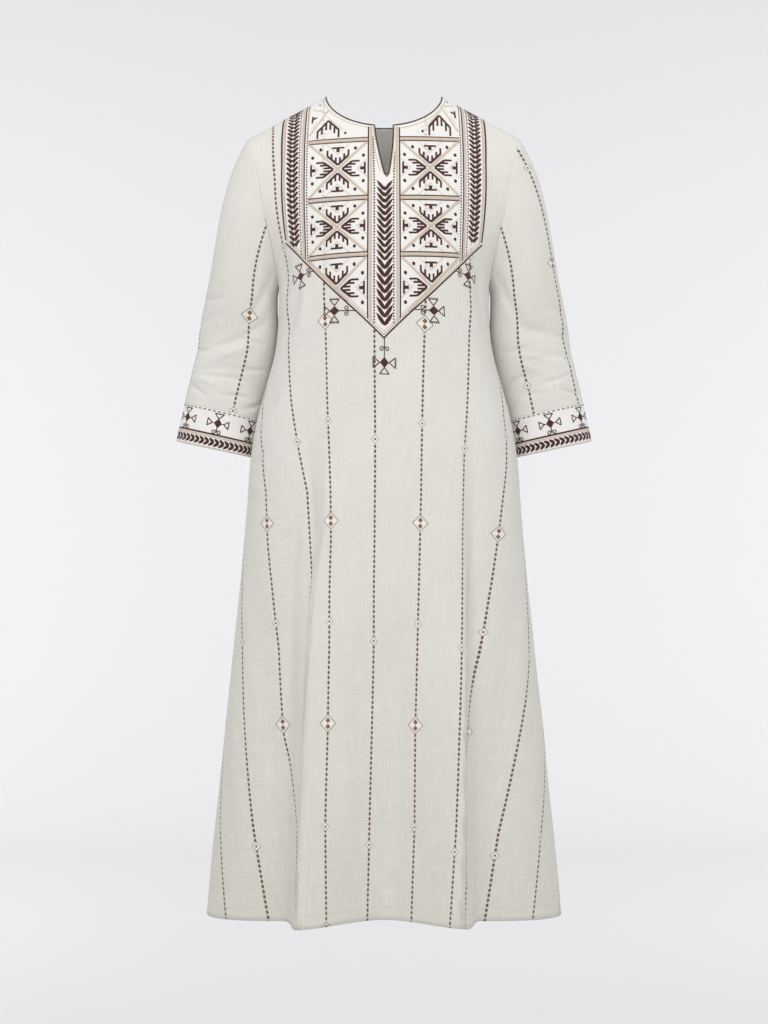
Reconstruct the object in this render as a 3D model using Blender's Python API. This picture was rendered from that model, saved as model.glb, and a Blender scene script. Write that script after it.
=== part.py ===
"""Kurta tunic, worn and hollow: a long A-line dress with three-quarter sleeves.

The cloth is a thin wall. Every panel is a grid of points on a surface worked out from the tables
below, and a second grid one wall thickness inside it. Metres, +Z up, the wearer faces -Y, and the
origin is the point between the shoulders where the wearer carries the garment.
"""
import bpy
import numpy as np

# Cloth and seams
WALL = 0.0015
CUFF_WALL = 0.0018
SEAM_GAP = 0.0003
MITRE_LIMIT = 2.0
FOLDED_BACK = 0.5
SAME_POINT_DIGITS = 6
SHARP_EDGE_DEGREES = 50

# Neck: half width and depths to the edge of the cloth, then the slit below it
NECK_HALF_WIDTH = 0.0863
FRONT_NECK_DEPTH = 0.0556
BACK_NECK_DEPTH = 0.036
SLIT_HALF_WIDTH = 0.0145
SLIT_FOOT_HALF_WIDTH = 0.0038
SLIT_LEAN = 0.004
SLIT_CURVE = 1.7
NECK_ROW = 3
SLIT_FOOT_ROW = 4.88
SLIT_ROW = 5
UNDERARM_ROW = 10
ROW_DIP = 0.6
LEAST_DEPTH = 1e-6

# Piping round the neck and the slit
PIPING_RADIUS = 0.001
PIPING_SIDES = 6
PIPING_FOOT_DROP = 0.0012

# Body sections from the shoulder seam down to the hem. Heights are below the origin, reaches are
# from the middle plane. "front" and "back" heights are where a section would cross the middle plane,
# above the shoulder for the first ones, which the neck cuts, and "side" is the shoulder tip, the
# armhole or the side seam. A notch is how far the armhole lies in front of or behind the middle
# plane, and a low roundness makes a full arc.
BODY_COLUMNS = ("front_height", "back_height", "side_height", "side_reach",
                "front_notch", "back_notch", "front_depth", "back_depth", "roundness")
BODY = np.array([
    (-0.0470, -0.0470, 0.0620, 0.2000, 0.0000, 0.0000, 0.0000, 0.0000, 1.60),
    (-0.0135, -0.0195, 0.0700, 0.1975, 0.0260, 0.0270, 0.0360, 0.0300, 1.58),
    (0.0203, 0.0080, 0.0880, 0.1915, 0.0410, 0.0430, 0.0580, 0.0475, 1.55),
    (0.0539, 0.0360, 0.1100, 0.1855, 0.0500, 0.0530, 0.0755, 0.0620, 1.50),
    (0.0920, 0.0640, 0.1370, 0.1805, 0.0550, 0.0590, 0.0910, 0.0745, 1.42),
    (0.1335, 0.1000, 0.1680, 0.1760, 0.0560, 0.0600, 0.1040, 0.0870, 1.32),
    (0.1700, 0.1520, 0.2000, 0.1690, 0.0510, 0.0560, 0.1130, 0.0970, 1.20),
    (0.2070, 0.2070, 0.2300, 0.1628, 0.0400, 0.0450, 0.1195, 0.1030, 1.08),
    (0.2400, 0.2400, 0.2560, 0.1582, 0.0260, 0.0300, 0.1230, 0.1040, 0.98),
    (0.2660, 0.2660, 0.2740, 0.1557, 0.0130, 0.0150, 0.1240, 0.1030, 0.90),
    (0.2870, 0.2870, 0.2830, 0.1548, 0.0000, 0.0000, 0.1235, 0.1020, 0.85),
    (0.3050, 0.3050, 0.3030, 0.1547, 0.0000, 0.0000, 0.1226, 0.1000, 0.83),
    (0.3370, 0.3370, 0.3370, 0.1558, 0.0000, 0.0000, 0.1213, 0.0966, 0.82),
    (0.3800, 0.3800, 0.3800, 0.1610, 0.0000, 0.0000, 0.1195, 0.0920, 0.82),
    (0.4300, 0.4300, 0.4300, 0.1745, 0.0000, 0.0000, 0.1190, 0.0900, 0.83),
    (0.4800, 0.4800, 0.4800, 0.1880, 0.0000, 0.0000, 0.1205, 0.0920, 0.84),
    (0.5400, 0.5400, 0.5400, 0.1970, 0.0000, 0.0000, 0.1235, 0.0970, 0.85),
    (0.6200, 0.6200, 0.6200, 0.2030, 0.0000, 0.0000, 0.1275, 0.1040, 0.87),
    (0.7200, 0.7200, 0.7200, 0.2120, 0.0000, 0.0000, 0.1320, 0.1130, 0.89),
    (0.8200, 0.8200, 0.8200, 0.2225, 0.0000, 0.0000, 0.1360, 0.1210, 0.91),
    (0.9200, 0.9200, 0.9200, 0.2325, 0.0000, 0.0000, 0.1395, 0.1290, 0.92),
    (1.0200, 1.0200, 1.0200, 0.2430, 0.0000, 0.0000, 0.1425, 0.1370, 0.93),
    (1.1100, 1.1120, 1.1120, 0.2530, 0.0000, 0.0000, 0.1445, 0.1440, 0.94),
    (1.1850, 1.2040, 1.2010, 0.2610, 0.0000, 0.0000, 0.1460, 0.1500, 0.95),
])
HEM_HEIGHT = BODY[-1, 0]

# Long folds that open downwards. "reach" is the fold's crest from the middle plane, negative to the
# left, at its start and at the hem. The inner flank faces the middle and the outer one the side.
FOLD_COLUMNS = ("start_height", "start_reach", "hem_reach", "hem_depth", "inner_width", "outer_width", "lean")
FRONT_FOLDS = np.array([
    (0.520, -0.100, -0.118, 0.066, 0.118, 0.026, 0.14),
    (0.430, 0.108, 0.112, 0.060, 0.112, 0.024, 0.14),
])
BACK_FOLDS = np.array([
    (0.480, -0.095, -0.150, 0.050, 0.070, 0.055, 0.00),
    (0.620, 0.010, 0.018, 0.034, 0.060, 0.060, 0.00),
    (0.450, 0.105, 0.160, 0.046, 0.060, 0.060, 0.00),
])
FOLD_GROWTH = 1.25

# Sleeve rings from just under the arm to the end of the cuff band, both edges as seen from the front:
# inner reach and height, outer reach and height, shift to the back, half depth
SLEEVE = np.array([
    (0.1572, 0.3010, 0.2600, 0.2770, 0.012, 0.047),
    (0.1577, 0.3630, 0.2735, 0.3380, 0.024, 0.043),
    (0.1722, 0.4300, 0.2870, 0.4050, 0.033, 0.041),
    (0.1842, 0.4745, 0.2970, 0.4490, 0.036, 0.040),
    (0.1942, 0.5300, 0.3095, 0.5055, 0.038, 0.040),
])
CUFF_RING = 3
CAP_PUFF = 0.30
CAP_PUFF_LOW = 0.06
CAP_RISE = 0.35
ARM_LINE_STATION = 0.3

# Soft folds at the elbow: station along the sleeve, angle from the outer edge towards the front,
# half lengths along and round the sleeve, slant and depth
ELBOW_FOLDS = np.array([
    (1.15, 0.9, 0.30, 1.3, -0.35, 0.0035),
    (1.95, 2.0, 0.28, 1.2, 0.30, 0.0030),
    (1.50, -1.6, 0.32, 1.4, 0.25, 0.0030),
])

# Grid sizes: columns of a half panel by its face, front -1 and back +1, and rows. The rows beside
# the slit are as many on the back, so that both panels meet the armhole's foot in the same row.
PANEL_COLUMNS = {-1: 19, 1: 14}
NECK_STEPS = 8
SLIT_ROWS = {-1: (3.5, 4.0, 4.5, SLIT_FOOT_ROW, SLIT_ROW), 1: (3.4, 3.8, 4.2, 4.6, SLIT_ROW)}
UNDERARM = NECK_STEPS + len(SLIT_ROWS[-1]) + UNDERARM_ROW - SLIT_ROW - 1
SKIRT_STEPS = 15
CURVE_SAMPLES = 400
CAP_ROWS = 5
SLEEVE_ROWS = 9
CUFF_ROWS = 3

CLOTH = (0.78, 0.77, 0.72, 1.0)
CUFF_GROUND = (0.86, 0.85, 0.82, 1.0)
MAROON = (0.115, 0.030, 0.032, 1.0)


def through(values, at):
    """Smooth curve through a column of a table, one knot a row: cubic Hermite pieces whose slope at
    a knot is half the step from the knot before it to the knot after it."""
    values = np.asarray(values, float)
    slopes = np.gradient(values)
    low = np.clip(np.floor(at).astype(int), 0, len(values) - 2)
    t = at - low
    return (values[low] * (1 + 2 * t) * (1 - t) ** 2 + slopes[low] * t * (1 - t) ** 2
            + values[low + 1] * t * t * (3 - 2 * t) + slopes[low + 1] * t * t * (t - 1))


def body_column(name, at):
    return through(BODY[:, BODY_COLUMNS.index(name)], at)


def section_height(rows, x, face):
    """Height below the origin along each section: from the middle to the side as a power of the
    distance across, straight along the shoulder seam and bowed below it."""
    middle = body_column("front_height" if face < 0 else "back_height", rows)[:, None]
    side = body_column("side_height", rows)[:, None]
    reach = body_column("side_reach", rows)[:, None]
    power = 1.0 + ROW_DIP * np.sin(np.pi / 2 * np.minimum(rows / NECK_ROW, 1.0))[:, None]
    return middle + (side - middle) * np.clip(x / reach, 0.0, 1.0) ** power


def edge_of_neck(rows, side, face):
    """Reach of the cloth's inner edge. Down to NECK_ROW it is where a section crosses the ellipse of
    the neck, on the front then the slit's leaning edge down to SLIT_ROW, and below them the line
    where the halves join."""
    front = face < 0
    depth = FRONT_NECK_DEPTH if front else BACK_NECK_DEPTH
    x = np.linspace(0.0, NECK_HALF_WIDTH, CURVE_SAMPLES)[None, :]
    height = np.maximum(section_height(rows, x, face), 0.0)
    outside = (x / NECK_HALF_WIDTH) ** 2 + (height / depth) ** 2
    round_neck = np.array([np.interp(1.0, row, x[0]) for row in outside])
    if not front:
        return np.where(rows < NECK_ROW, round_neck, 0.0)
    down = np.clip((rows - NECK_ROW) / (SLIT_FOOT_ROW - NECK_ROW), 0.0, 1.0)
    half = SLIT_FOOT_HALF_WIDTH + (SLIT_HALF_WIDTH - SLIT_FOOT_HALF_WIDTH) * (1 - down ** SLIT_CURVE)
    half = np.where(rows < SLIT_ROW, half, 0.0)
    middle = SLIT_LEAN * np.interp(rows, (NECK_ROW, SLIT_ROW, UNDERARM_ROW), (0.0, 1.0, 0.0))
    return np.where(rows < NECK_ROW, round_neck, half + side * middle)


def neck_rows(face):
    """Rows from the shoulder seam to NECK_ROW that meet the edge of the neck at even angles."""
    depth = FRONT_NECK_DEPTH if face < 0 else BACK_NECK_DEPTH
    fine = np.linspace(0.0, NECK_ROW, CURVE_SAMPLES)
    reach = edge_of_neck(fine, 1, face)
    heights = section_height(fine, reach[:, None], face)[:, 0]
    last = np.arcsin(min(heights[-1] / depth, 1.0))
    return np.interp(depth * np.sin(np.linspace(0.0, last, NECK_STEPS)), heights, fine)


def half_panel(side, face, rows, columns):
    """One half of the front (face -1) or the back (face +1), on the left (side -1) or the right.

    Each row is an arc from the centre to the armhole or the side seam: x goes as the sine of an
    angle and y = depth * cosine ** roundness, up to the angle where y comes down to the armhole's
    notch. It is pushed out along y by the folds and resampled to equal steps along its own length.
    """
    inner = edge_of_neck(rows, side, face)[:, None]
    reach = body_column("side_reach", rows)[:, None]
    middle_height = section_height(rows, 0.0, face)
    notch = body_column("front_notch" if face < 0 else "back_notch", rows)
    notch = np.where(rows < UNDERARM_ROW, notch, 0.0)[:, None]
    depth = np.maximum(body_column("front_depth" if face < 0 else "back_depth", rows), LEAST_DEPTH)[:, None]
    power = body_column("roundness", rows)[:, None]
    last = np.arccos(np.clip(notch / depth, 0.0, 1.0) ** (1.0 / power))
    start = np.arcsin(inner / reach * np.sin(last))
    t = start + (last - start) * np.linspace(0.0, 1.0, CURVE_SAMPLES)[None, :]
    x = reach * np.sin(t) / np.sin(last)
    y = depth * np.clip(np.cos(t), 0.0, 1.0) ** power
    y = np.where(rows[:, None] > 0.0, y, 0.0)
    lean = np.zeros_like(x)
    for row in FRONT_FOLDS if face < 0 else BACK_FOLDS:
        fold = dict(zip(FOLD_COLUMNS, row))
        outward = side * np.sign(fold["hem_reach"])
        run = HEM_HEIGHT - fold["start_height"]
        grown = np.clip((middle_height - fold["start_height"]) / run, 0.0, 1.0)
        crest = np.abs(fold["start_reach"] + (fold["hem_reach"] - fold["start_reach"]) * grown)
        off = outward * x - crest
        flank = np.where(off < 0.0, fold["inner_width"], fold["outer_width"])
        bump = 0.5 * (1.0 + np.cos(np.pi * np.clip(off / flank, -1.0, 1.0)))
        amount = fold["hem_depth"] * grown ** FOLD_GROWTH * bump
        y = y + amount
        lean = lean + outward * fold["lean"] * amount
    x = x + lean
    arc = np.concatenate([np.zeros((len(rows), 1)),
                          np.cumsum(np.hypot(np.diff(x), np.diff(y)), axis=1)], axis=1)
    steps = np.linspace(0.0, 1.0, columns)
    xs = np.array([np.interp(steps * a[-1], a, row) for a, row in zip(arc, x)])
    ys = np.array([np.interp(steps * a[-1], a, row) for a, row in zip(arc, y)])
    return np.stack([side * xs, face * ys, -section_height(rows, xs, face)], axis=-1)


def grid_normals(grid, sign):
    """Unit normals of a grid of points: the cross product of its row and column steps."""
    normal = np.cross(np.gradient(grid, axis=0), np.gradient(grid, axis=1)) * sign
    return normal / np.linalg.norm(normal, axis=-1, keepdims=True)


def in_middle_plane(normal):
    """The part of a normal that lies in a seam's own plane, y = 0, long enough to keep the wall."""
    flat = normal * np.array([1.0, 0.0, 1.0])
    length = np.linalg.norm(flat, axis=-1, keepdims=True)
    return flat / length * np.minimum(1.0 / length, MITRE_LIMIT)


def wall_at_seam(own, other):
    """Wall direction along a seam where two pieces meet: their mitre, long enough to keep the wall,
    giving way to the piece's own normal where the two fold back on each other, as under the arm."""
    facing = np.sum(own * other, axis=-1, keepdims=True)
    both = own + other
    both = both / np.linalg.norm(both, axis=-1, keepdims=True)
    mitre = both * np.minimum(1.0 / np.sum(both * own, axis=-1, keepdims=True), MITRE_LIMIT)
    share = np.clip(facing / FOLDED_BACK, 0.0, 1.0)
    return share * mitre + (1.0 - share) * own


def across_seam(seam, normal):
    """Unit directions in the cloth, square to a seam, on the side that normal x tangent points to."""
    direction = np.cross(normal, np.gradient(seam, axis=0))
    return direction / np.linalg.norm(direction, axis=-1, keepdims=True)


def grid_faces(rows, columns, first=0, closed=False, flip=False):
    """Four-sided faces of a grid of points, joined round the columns when closed."""
    r, c = np.meshgrid(np.arange(rows - 1), np.arange(columns if closed else columns - 1), indexing="ij")
    r, c = r.ravel(), c.ravel()
    n = (c + 1) % columns
    faces = np.stack([r * columns + c, r * columns + n,
                      (r + 1) * columns + n, (r + 1) * columns + c], axis=1) + first
    return faces[:, ::-1] if flip else faces


def material(name, colour, roughness):
    mat = bpy.data.materials.new(name)
    mat.use_nodes = True
    shader = mat.node_tree.nodes["Principled BSDF"]
    shader.inputs["Base Color"].default_value = colour
    shader.inputs["Roughness"].default_value = roughness
    shader.inputs["Metallic"].default_value = 0.0
    mat.diffuse_color = colour
    return mat


def link_mesh(name, points, faces, mat):
    mesh = bpy.data.meshes.new(name)
    mesh.from_pydata(points.tolist(), [], faces.tolist())
    mesh.shade_smooth()
    mesh.set_sharp_from_angle(angle=np.radians(SHARP_EDGE_DEGREES))
    mesh.materials.append(mat)
    bpy.context.collection.objects.link(bpy.data.objects.new(name, mesh))


def cloth(name, outer, inward, faces, mat):
    """A closed wall: the outer sheet, the same sheet moved inward, and a strip along every border.
    Points of the sheet that fall on each other, as along a centre line, become one."""
    places = np.round(outer, SAME_POINT_DIGITS)
    _, first, merged = np.unique(places, axis=0, return_index=True, return_inverse=True)
    merged = merged.ravel()
    share = np.bincount(merged)[:, None]
    inward = np.stack([np.bincount(merged, inward[:, k]) for k in range(3)], axis=1) / share
    outer = outer[first]
    faces = merged[faces]
    count = len(outer)
    starts = faces.ravel()
    ends = np.roll(faces, -1, axis=1).ravel()
    border = ~np.isin(starts * count + ends, ends * count + starts)
    a, b = starts[border], ends[border]
    strip = np.stack([b, a, a + count, b + count], axis=1)
    points = np.concatenate([outer, outer + inward])
    link_mesh(name, points, np.concatenate([faces, faces[:, ::-1] + count, strip]), mat)


def sleeve_ring(station, turn, side):
    """Points round the sleeve at one station: an ellipse between the inner and outer edges."""
    inner_x, inner_h, outer_x, outer_h, back, half_depth = (through(values, station) for values in SLEEVE.T)
    across = np.cos(turn)
    x = (outer_x + inner_x) / 2 + (outer_x - inner_x) / 2 * across
    z = (outer_h + inner_h) / 2 + (outer_h - inner_h) / 2 * across
    return np.stack([side * x, back - half_depth * np.sin(turn), -z], axis=-1)


def sleeve_tube(side, armhole, turn, cap_rows, stations):
    """The sleeve from the armhole to the cuff band: a cap that leaves the armhole outwards and meets
    the first ring along the arm, then rings down to the band, pressed in by the elbow folds."""
    first = sleeve_ring(np.zeros_like(turn), turn, side)
    chord = first - armhole
    length = np.linalg.norm(chord, axis=-1, keepdims=True)
    puff = (CAP_PUFF_LOW + (CAP_PUFF - CAP_PUFF_LOW) * (0.5 + 0.5 * np.cos(turn)))[:, None]
    leave = chord + puff * length * np.array([side, 0.0, CAP_RISE])
    arm = sleeve_ring(np.full_like(turn, ARM_LINE_STATION), turn, side) - first
    arrive = length * arm / np.linalg.norm(arm, axis=-1, keepdims=True)
    s = np.linspace(0.0, 1.0, cap_rows)[:-1, None, None]
    cap = (armhole * (1 + 2 * s) * (1 - s) ** 2 + leave * s * (1 - s) ** 2
           + first * s * s * (3 - 2 * s) + arrive * s * s * (s - 1))
    station, around = np.meshgrid(stations, turn, indexing="ij")
    rings = sleeve_ring(station, around, side)
    dent = np.zeros_like(station)
    for fold_station, angle, half_height, half_turn, slant, depth in ELBOW_FOLDS:
        off_turn = (around - angle + np.pi) % (2 * np.pi) - np.pi
        off_station = station - fold_station - slant * off_turn
        dent += depth * np.exp(-(off_station / half_height) ** 2 - (off_turn / half_turn) ** 2)
    centre = sleeve_ring(station, around, side).mean(axis=1, keepdims=True)
    away = (rings - centre) / np.linalg.norm(rings - centre, axis=-1, keepdims=True)
    return np.concatenate([cap, rings - away * dent[..., None]])


def armhole_loop(side, panels):
    """The armhole from the shoulder tip down the front, past the underarm and up the back."""
    down_front = panels[-1, side][0][:UNDERARM + 1, -1]
    up_back = panels[1, side][0][UNDERARM::-1, -1]
    return np.concatenate([down_front, up_back[1:-1]])


def turns_of(loop):
    """Angles round the sleeve for the points of the armhole, in step with the length along it."""
    closed = np.concatenate([loop, loop[:1]])
    arc = np.concatenate([[0.0], np.cumsum(np.linalg.norm(np.diff(closed, axis=0), axis=1))])
    low = int(np.argmin(loop[:, 2]))
    front = np.pi * arc[:low + 1] / arc[low]
    back = np.pi + np.pi * (arc[low + 1:-1] - arc[low]) / (arc[-1] - arc[low])
    return np.concatenate([front, back])


def piping_path(edge, normal):
    """The edge of the neck moved into the opening until the piping just clears it."""
    step = np.roll(edge, -1, axis=0) - edge
    middle = normal + np.roll(normal, -1, axis=0)
    into = np.cross(middle, step)
    into = into / np.linalg.norm(into, axis=1, keepdims=True)
    before = np.roll(into, 1, axis=0)
    corner = 1.0 + np.sum(before * into, axis=1, keepdims=True)
    return edge + (PIPING_RADIUS + SEAM_GAP) * (before + into) / corner


def half_panels(rows_of):
    """The four half panels with their normals, alike along the line where two halves join."""
    panels = {}
    for face, columns in PANEL_COLUMNS.items():
        rows = rows_of[face]
        for side in (-1, 1):
            grid = half_panel(side, face, rows, columns)
            panels[face, side] = (grid, grid_normals(grid, -side * face))
        shared = panels[face, -1][1][:, 0] + panels[face, 1][1][:, 0]
        shared = shared / np.linalg.norm(shared, axis=1, keepdims=True)
        joined = rows >= (SLIT_ROW if face < 0 else NECK_ROW)
        for side in (-1, 1):
            panels[face, side][1][joined, 0] = shared[joined]
    return panels


def neck_edges(panels):
    """The cloth's edge all round the neck with its normals: down the left of the front and the slit,
    up the right, then round the back, and the place in it where the slit's foot comes."""
    slit_foot = NECK_STEPS + len(SLIT_ROWS[-1]) - 1
    neck_foot = NECK_STEPS - 1
    stretches = (((-1, -1), slice(0, slit_foot)), ((-1, 1), slice(slit_foot - 1, None, -1)),
                 ((1, 1), slice(1, neck_foot + 1)), ((1, -1), slice(neck_foot - 1, 0, -1)))
    edge = np.concatenate([panels[key][0][part, 0] for key, part in stretches])
    normal = np.concatenate([panels[key][1][part, 0] for key, part in stretches])
    return edge, normal, slit_foot


def close_round(grid):
    return np.concatenate([grid[:, -1:], grid, grid[:, :1]], axis=1)


def drawn_back(edge, following):
    """An edge drawn back by half a seam's gap towards the row that follows it."""
    step = following - edge
    return edge + SEAM_GAP / 2 * step / np.linalg.norm(step, axis=-1, keepdims=True)


def make_sleeve(side, name, panels, mat):
    """The sleeve, and the edges of the front and the back drawn back from it and from each other."""
    loop = armhole_loop(side, panels)
    turn = turns_of(loop)
    tube = sleeve_tube(side, loop, turn, CAP_ROWS, np.linspace(0, CUFF_RING, SLEEVE_ROWS))
    normal = grid_normals(close_round(tube), -side)[:, 1:-1]
    seam_of = {-1: np.arange(UNDERARM + 1), 1: -np.arange(UNDERARM + 1) % len(turn)}
    sleeve_normal = normal[0].copy()
    down_sleeve = side * across_seam(close_round(loop[None])[0], close_round(normal[:1])[0])[1:-1]
    tube[0] += SEAM_GAP / 2 * down_sleeve
    tube[-1] = drawn_back(tube[-1], tube[-2])
    for face in (-1, 1):
        grid, panel_normal = panels[face, side]
        armhole_normal = panel_normal[:UNDERARM + 1, -1].copy()
        seam_normal = sleeve_normal[seam_of[face]]
        into_panel = side * face * across_seam(loop[seam_of[face]], armhole_normal)
        normal[0, seam_of[face]] = wall_at_seam(seam_normal, armhole_normal)
        panel_normal[:UNDERARM + 1, -1] = wall_at_seam(armhole_normal, seam_normal)
        panel_normal[0, :] = in_middle_plane(panel_normal[0, :])
        panel_normal[UNDERARM:, -1] = in_middle_plane(panel_normal[UNDERARM:, -1])
        grid[:UNDERARM + 1, -1] += SEAM_GAP / 2 * into_panel
        grid[0, :, 1] += SEAM_GAP / 2 * face
        grid[UNDERARM:, -1, 1] += SEAM_GAP / 2 * face
    normal[0, [0, UNDERARM]] = in_middle_plane(normal[0, [0, UNDERARM]])
    faces = grid_faces(len(tube), len(turn), closed=True, flip=side < 0)
    cloth(name, tube.reshape(-1, 3), -WALL * normal.reshape(-1, 3), faces, mat)
    return turn


def make_cuff(side, name, turn, mat):
    """The band that carries the sleeve on to its end, sewn on at CUFF_RING."""
    station, around = np.meshgrid(np.linspace(CUFF_RING, len(SLEEVE) - 1, CUFF_ROWS), turn, indexing="ij")
    band = sleeve_ring(station, around, side)
    normal = grid_normals(close_round(band), -side)[:, 1:-1]
    band[0] = drawn_back(band[0], band[1])
    faces = grid_faces(CUFF_ROWS, len(turn), closed=True, flip=side < 0)
    cloth(name, band.reshape(-1, 3), -CUFF_WALL * normal.reshape(-1, 3), faces, mat)


def make_panel(face, name, panels, mat):
    """The whole front or back: its left and right halves joined along the centre line."""
    (left, left_normal), (right, right_normal) = panels[face, -1], panels[face, 1]
    rows, columns = left.shape[:2]
    outer = np.concatenate([left.reshape(-1, 3), right.reshape(-1, 3)])
    normal = np.concatenate([left_normal.reshape(-1, 3), right_normal.reshape(-1, 3)])
    faces = np.concatenate([grid_faces(rows, columns, 0, flip=face > 0),
                            grid_faces(rows, columns, rows * columns, flip=face < 0)])
    cloth(name, outer, -WALL * normal, faces, mat)


def make_piping(name, edge, normal, slit_foot, mat):
    """A round cord along the neck edge and both sides of the slit, closed on itself."""
    path = piping_path(edge, normal)
    foot = path[slit_foot - 1:slit_foot + 1].mean(axis=0) - np.array([0.0, 0.0, PIPING_FOOT_DROP])
    foot_normal = normal[slit_foot - 1:slit_foot + 1].mean(axis=0)
    path = np.insert(path, slit_foot, foot, axis=0)
    normal = np.insert(normal, slit_foot, foot_normal, axis=0)
    along = np.roll(path, -1, axis=0) - np.roll(path, 1, axis=0)
    sideways = np.cross(normal, along)
    sideways = (sideways / np.linalg.norm(sideways, axis=1, keepdims=True))[:, None]
    upward = np.cross(along, sideways[:, 0])
    upward = (upward / np.linalg.norm(upward, axis=1, keepdims=True))[:, None]
    spin = (2 * np.pi * np.arange(PIPING_SIDES) / PIPING_SIDES)[None, :, None]
    tube = path[:, None] + PIPING_RADIUS * (np.cos(spin) * sideways + np.sin(spin) * upward)
    faces = grid_faces(len(path) + 1, PIPING_SIDES, closed=True) % (len(path) * PIPING_SIDES)
    link_mesh(name, tube.reshape(-1, 3), faces, mat)


for leftover in list(bpy.data.objects):
    bpy.data.objects.remove(leftover, do_unlink=True)

cloth_material = material("striped_cloth", CLOTH, 0.92)
cuff_material = material("cuff_ground", CUFF_GROUND, 0.9)
piping_material = material("maroon_piping", MAROON, 0.85)

rows_below_slit = np.concatenate([np.arange(SLIT_ROW + 1, UNDERARM_ROW + 1),
                                  np.linspace(UNDERARM_ROW, len(BODY) - 1, SKIRT_STEPS)[1:]])
body = half_panels({face: np.concatenate([neck_rows(face), SLIT_ROWS[face], rows_below_slit])
                    for face in PANEL_COLUMNS})
neck, neck_normal, foot_place = neck_edges(body)
make_piping("neck_piping", neck, neck_normal, foot_place, piping_material)
for hand, label in ((-1, "left"), (1, "right")):
    sleeve_turn = make_sleeve(hand, "sleeve_" + label, body, cloth_material)
    make_cuff(hand, "cuff_" + label, sleeve_turn, cuff_material)
make_panel(-1, "front", body, cloth_material)
make_panel(1, "back", body, cloth_material)
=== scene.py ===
"""Kurta tunic, worn and hollow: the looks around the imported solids.

Metres, +Z up, the wearer faces -Y. Every cloth piece is a sheet of points on the form that its solid
has, with a flat map in metres that says where on the cut cloth each point lies. The woven stripes
are drawn on that map, and the embroidery is laid on it thread by thread.
"""
import bpy
import numpy as np
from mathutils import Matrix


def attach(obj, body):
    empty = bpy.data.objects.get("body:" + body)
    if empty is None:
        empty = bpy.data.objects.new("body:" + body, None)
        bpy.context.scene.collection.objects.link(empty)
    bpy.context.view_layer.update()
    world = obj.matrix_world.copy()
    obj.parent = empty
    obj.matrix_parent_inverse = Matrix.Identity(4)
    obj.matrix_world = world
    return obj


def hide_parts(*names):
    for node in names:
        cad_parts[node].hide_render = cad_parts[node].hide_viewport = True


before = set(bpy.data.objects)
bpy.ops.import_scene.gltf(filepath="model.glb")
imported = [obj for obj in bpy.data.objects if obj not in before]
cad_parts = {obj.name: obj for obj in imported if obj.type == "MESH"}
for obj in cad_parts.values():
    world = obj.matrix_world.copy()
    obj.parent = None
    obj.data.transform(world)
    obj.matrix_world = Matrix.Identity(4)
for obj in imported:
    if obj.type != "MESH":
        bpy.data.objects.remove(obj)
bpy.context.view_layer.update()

# The front: one full-length A-line panel of slubbed linen and cotton, cut with a round neck and a
# narrow V slit. It hangs from the shoulder seams, rounds over the bust and opens downwards into two
# long forward folds.
NECK_HALF_WIDTH = 0.0863
NECK_DEPTHS = {-1: 0.0556, 1: 0.036}
SLIT_HALF_WIDTH = 0.0145
SLIT_FOOT_HALF_WIDTH = 0.0038
SLIT_LEAN = 0.004
SLIT_CURVE = 1.7
NECK_ROW = 3
SLIT_FOOT_ROW = 4.88
SLIT_ROW = 5
UNDERARM_ROW = 10
ROW_DIP = 0.6
LEAST_DEPTH = 1e-6
BEFORE_CENTRE = 0.05
BODY_COLUMNS = ("front_height", "back_height", "side_height", "side_reach",
                "front_notch", "back_notch", "front_depth", "back_depth", "roundness")
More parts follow.
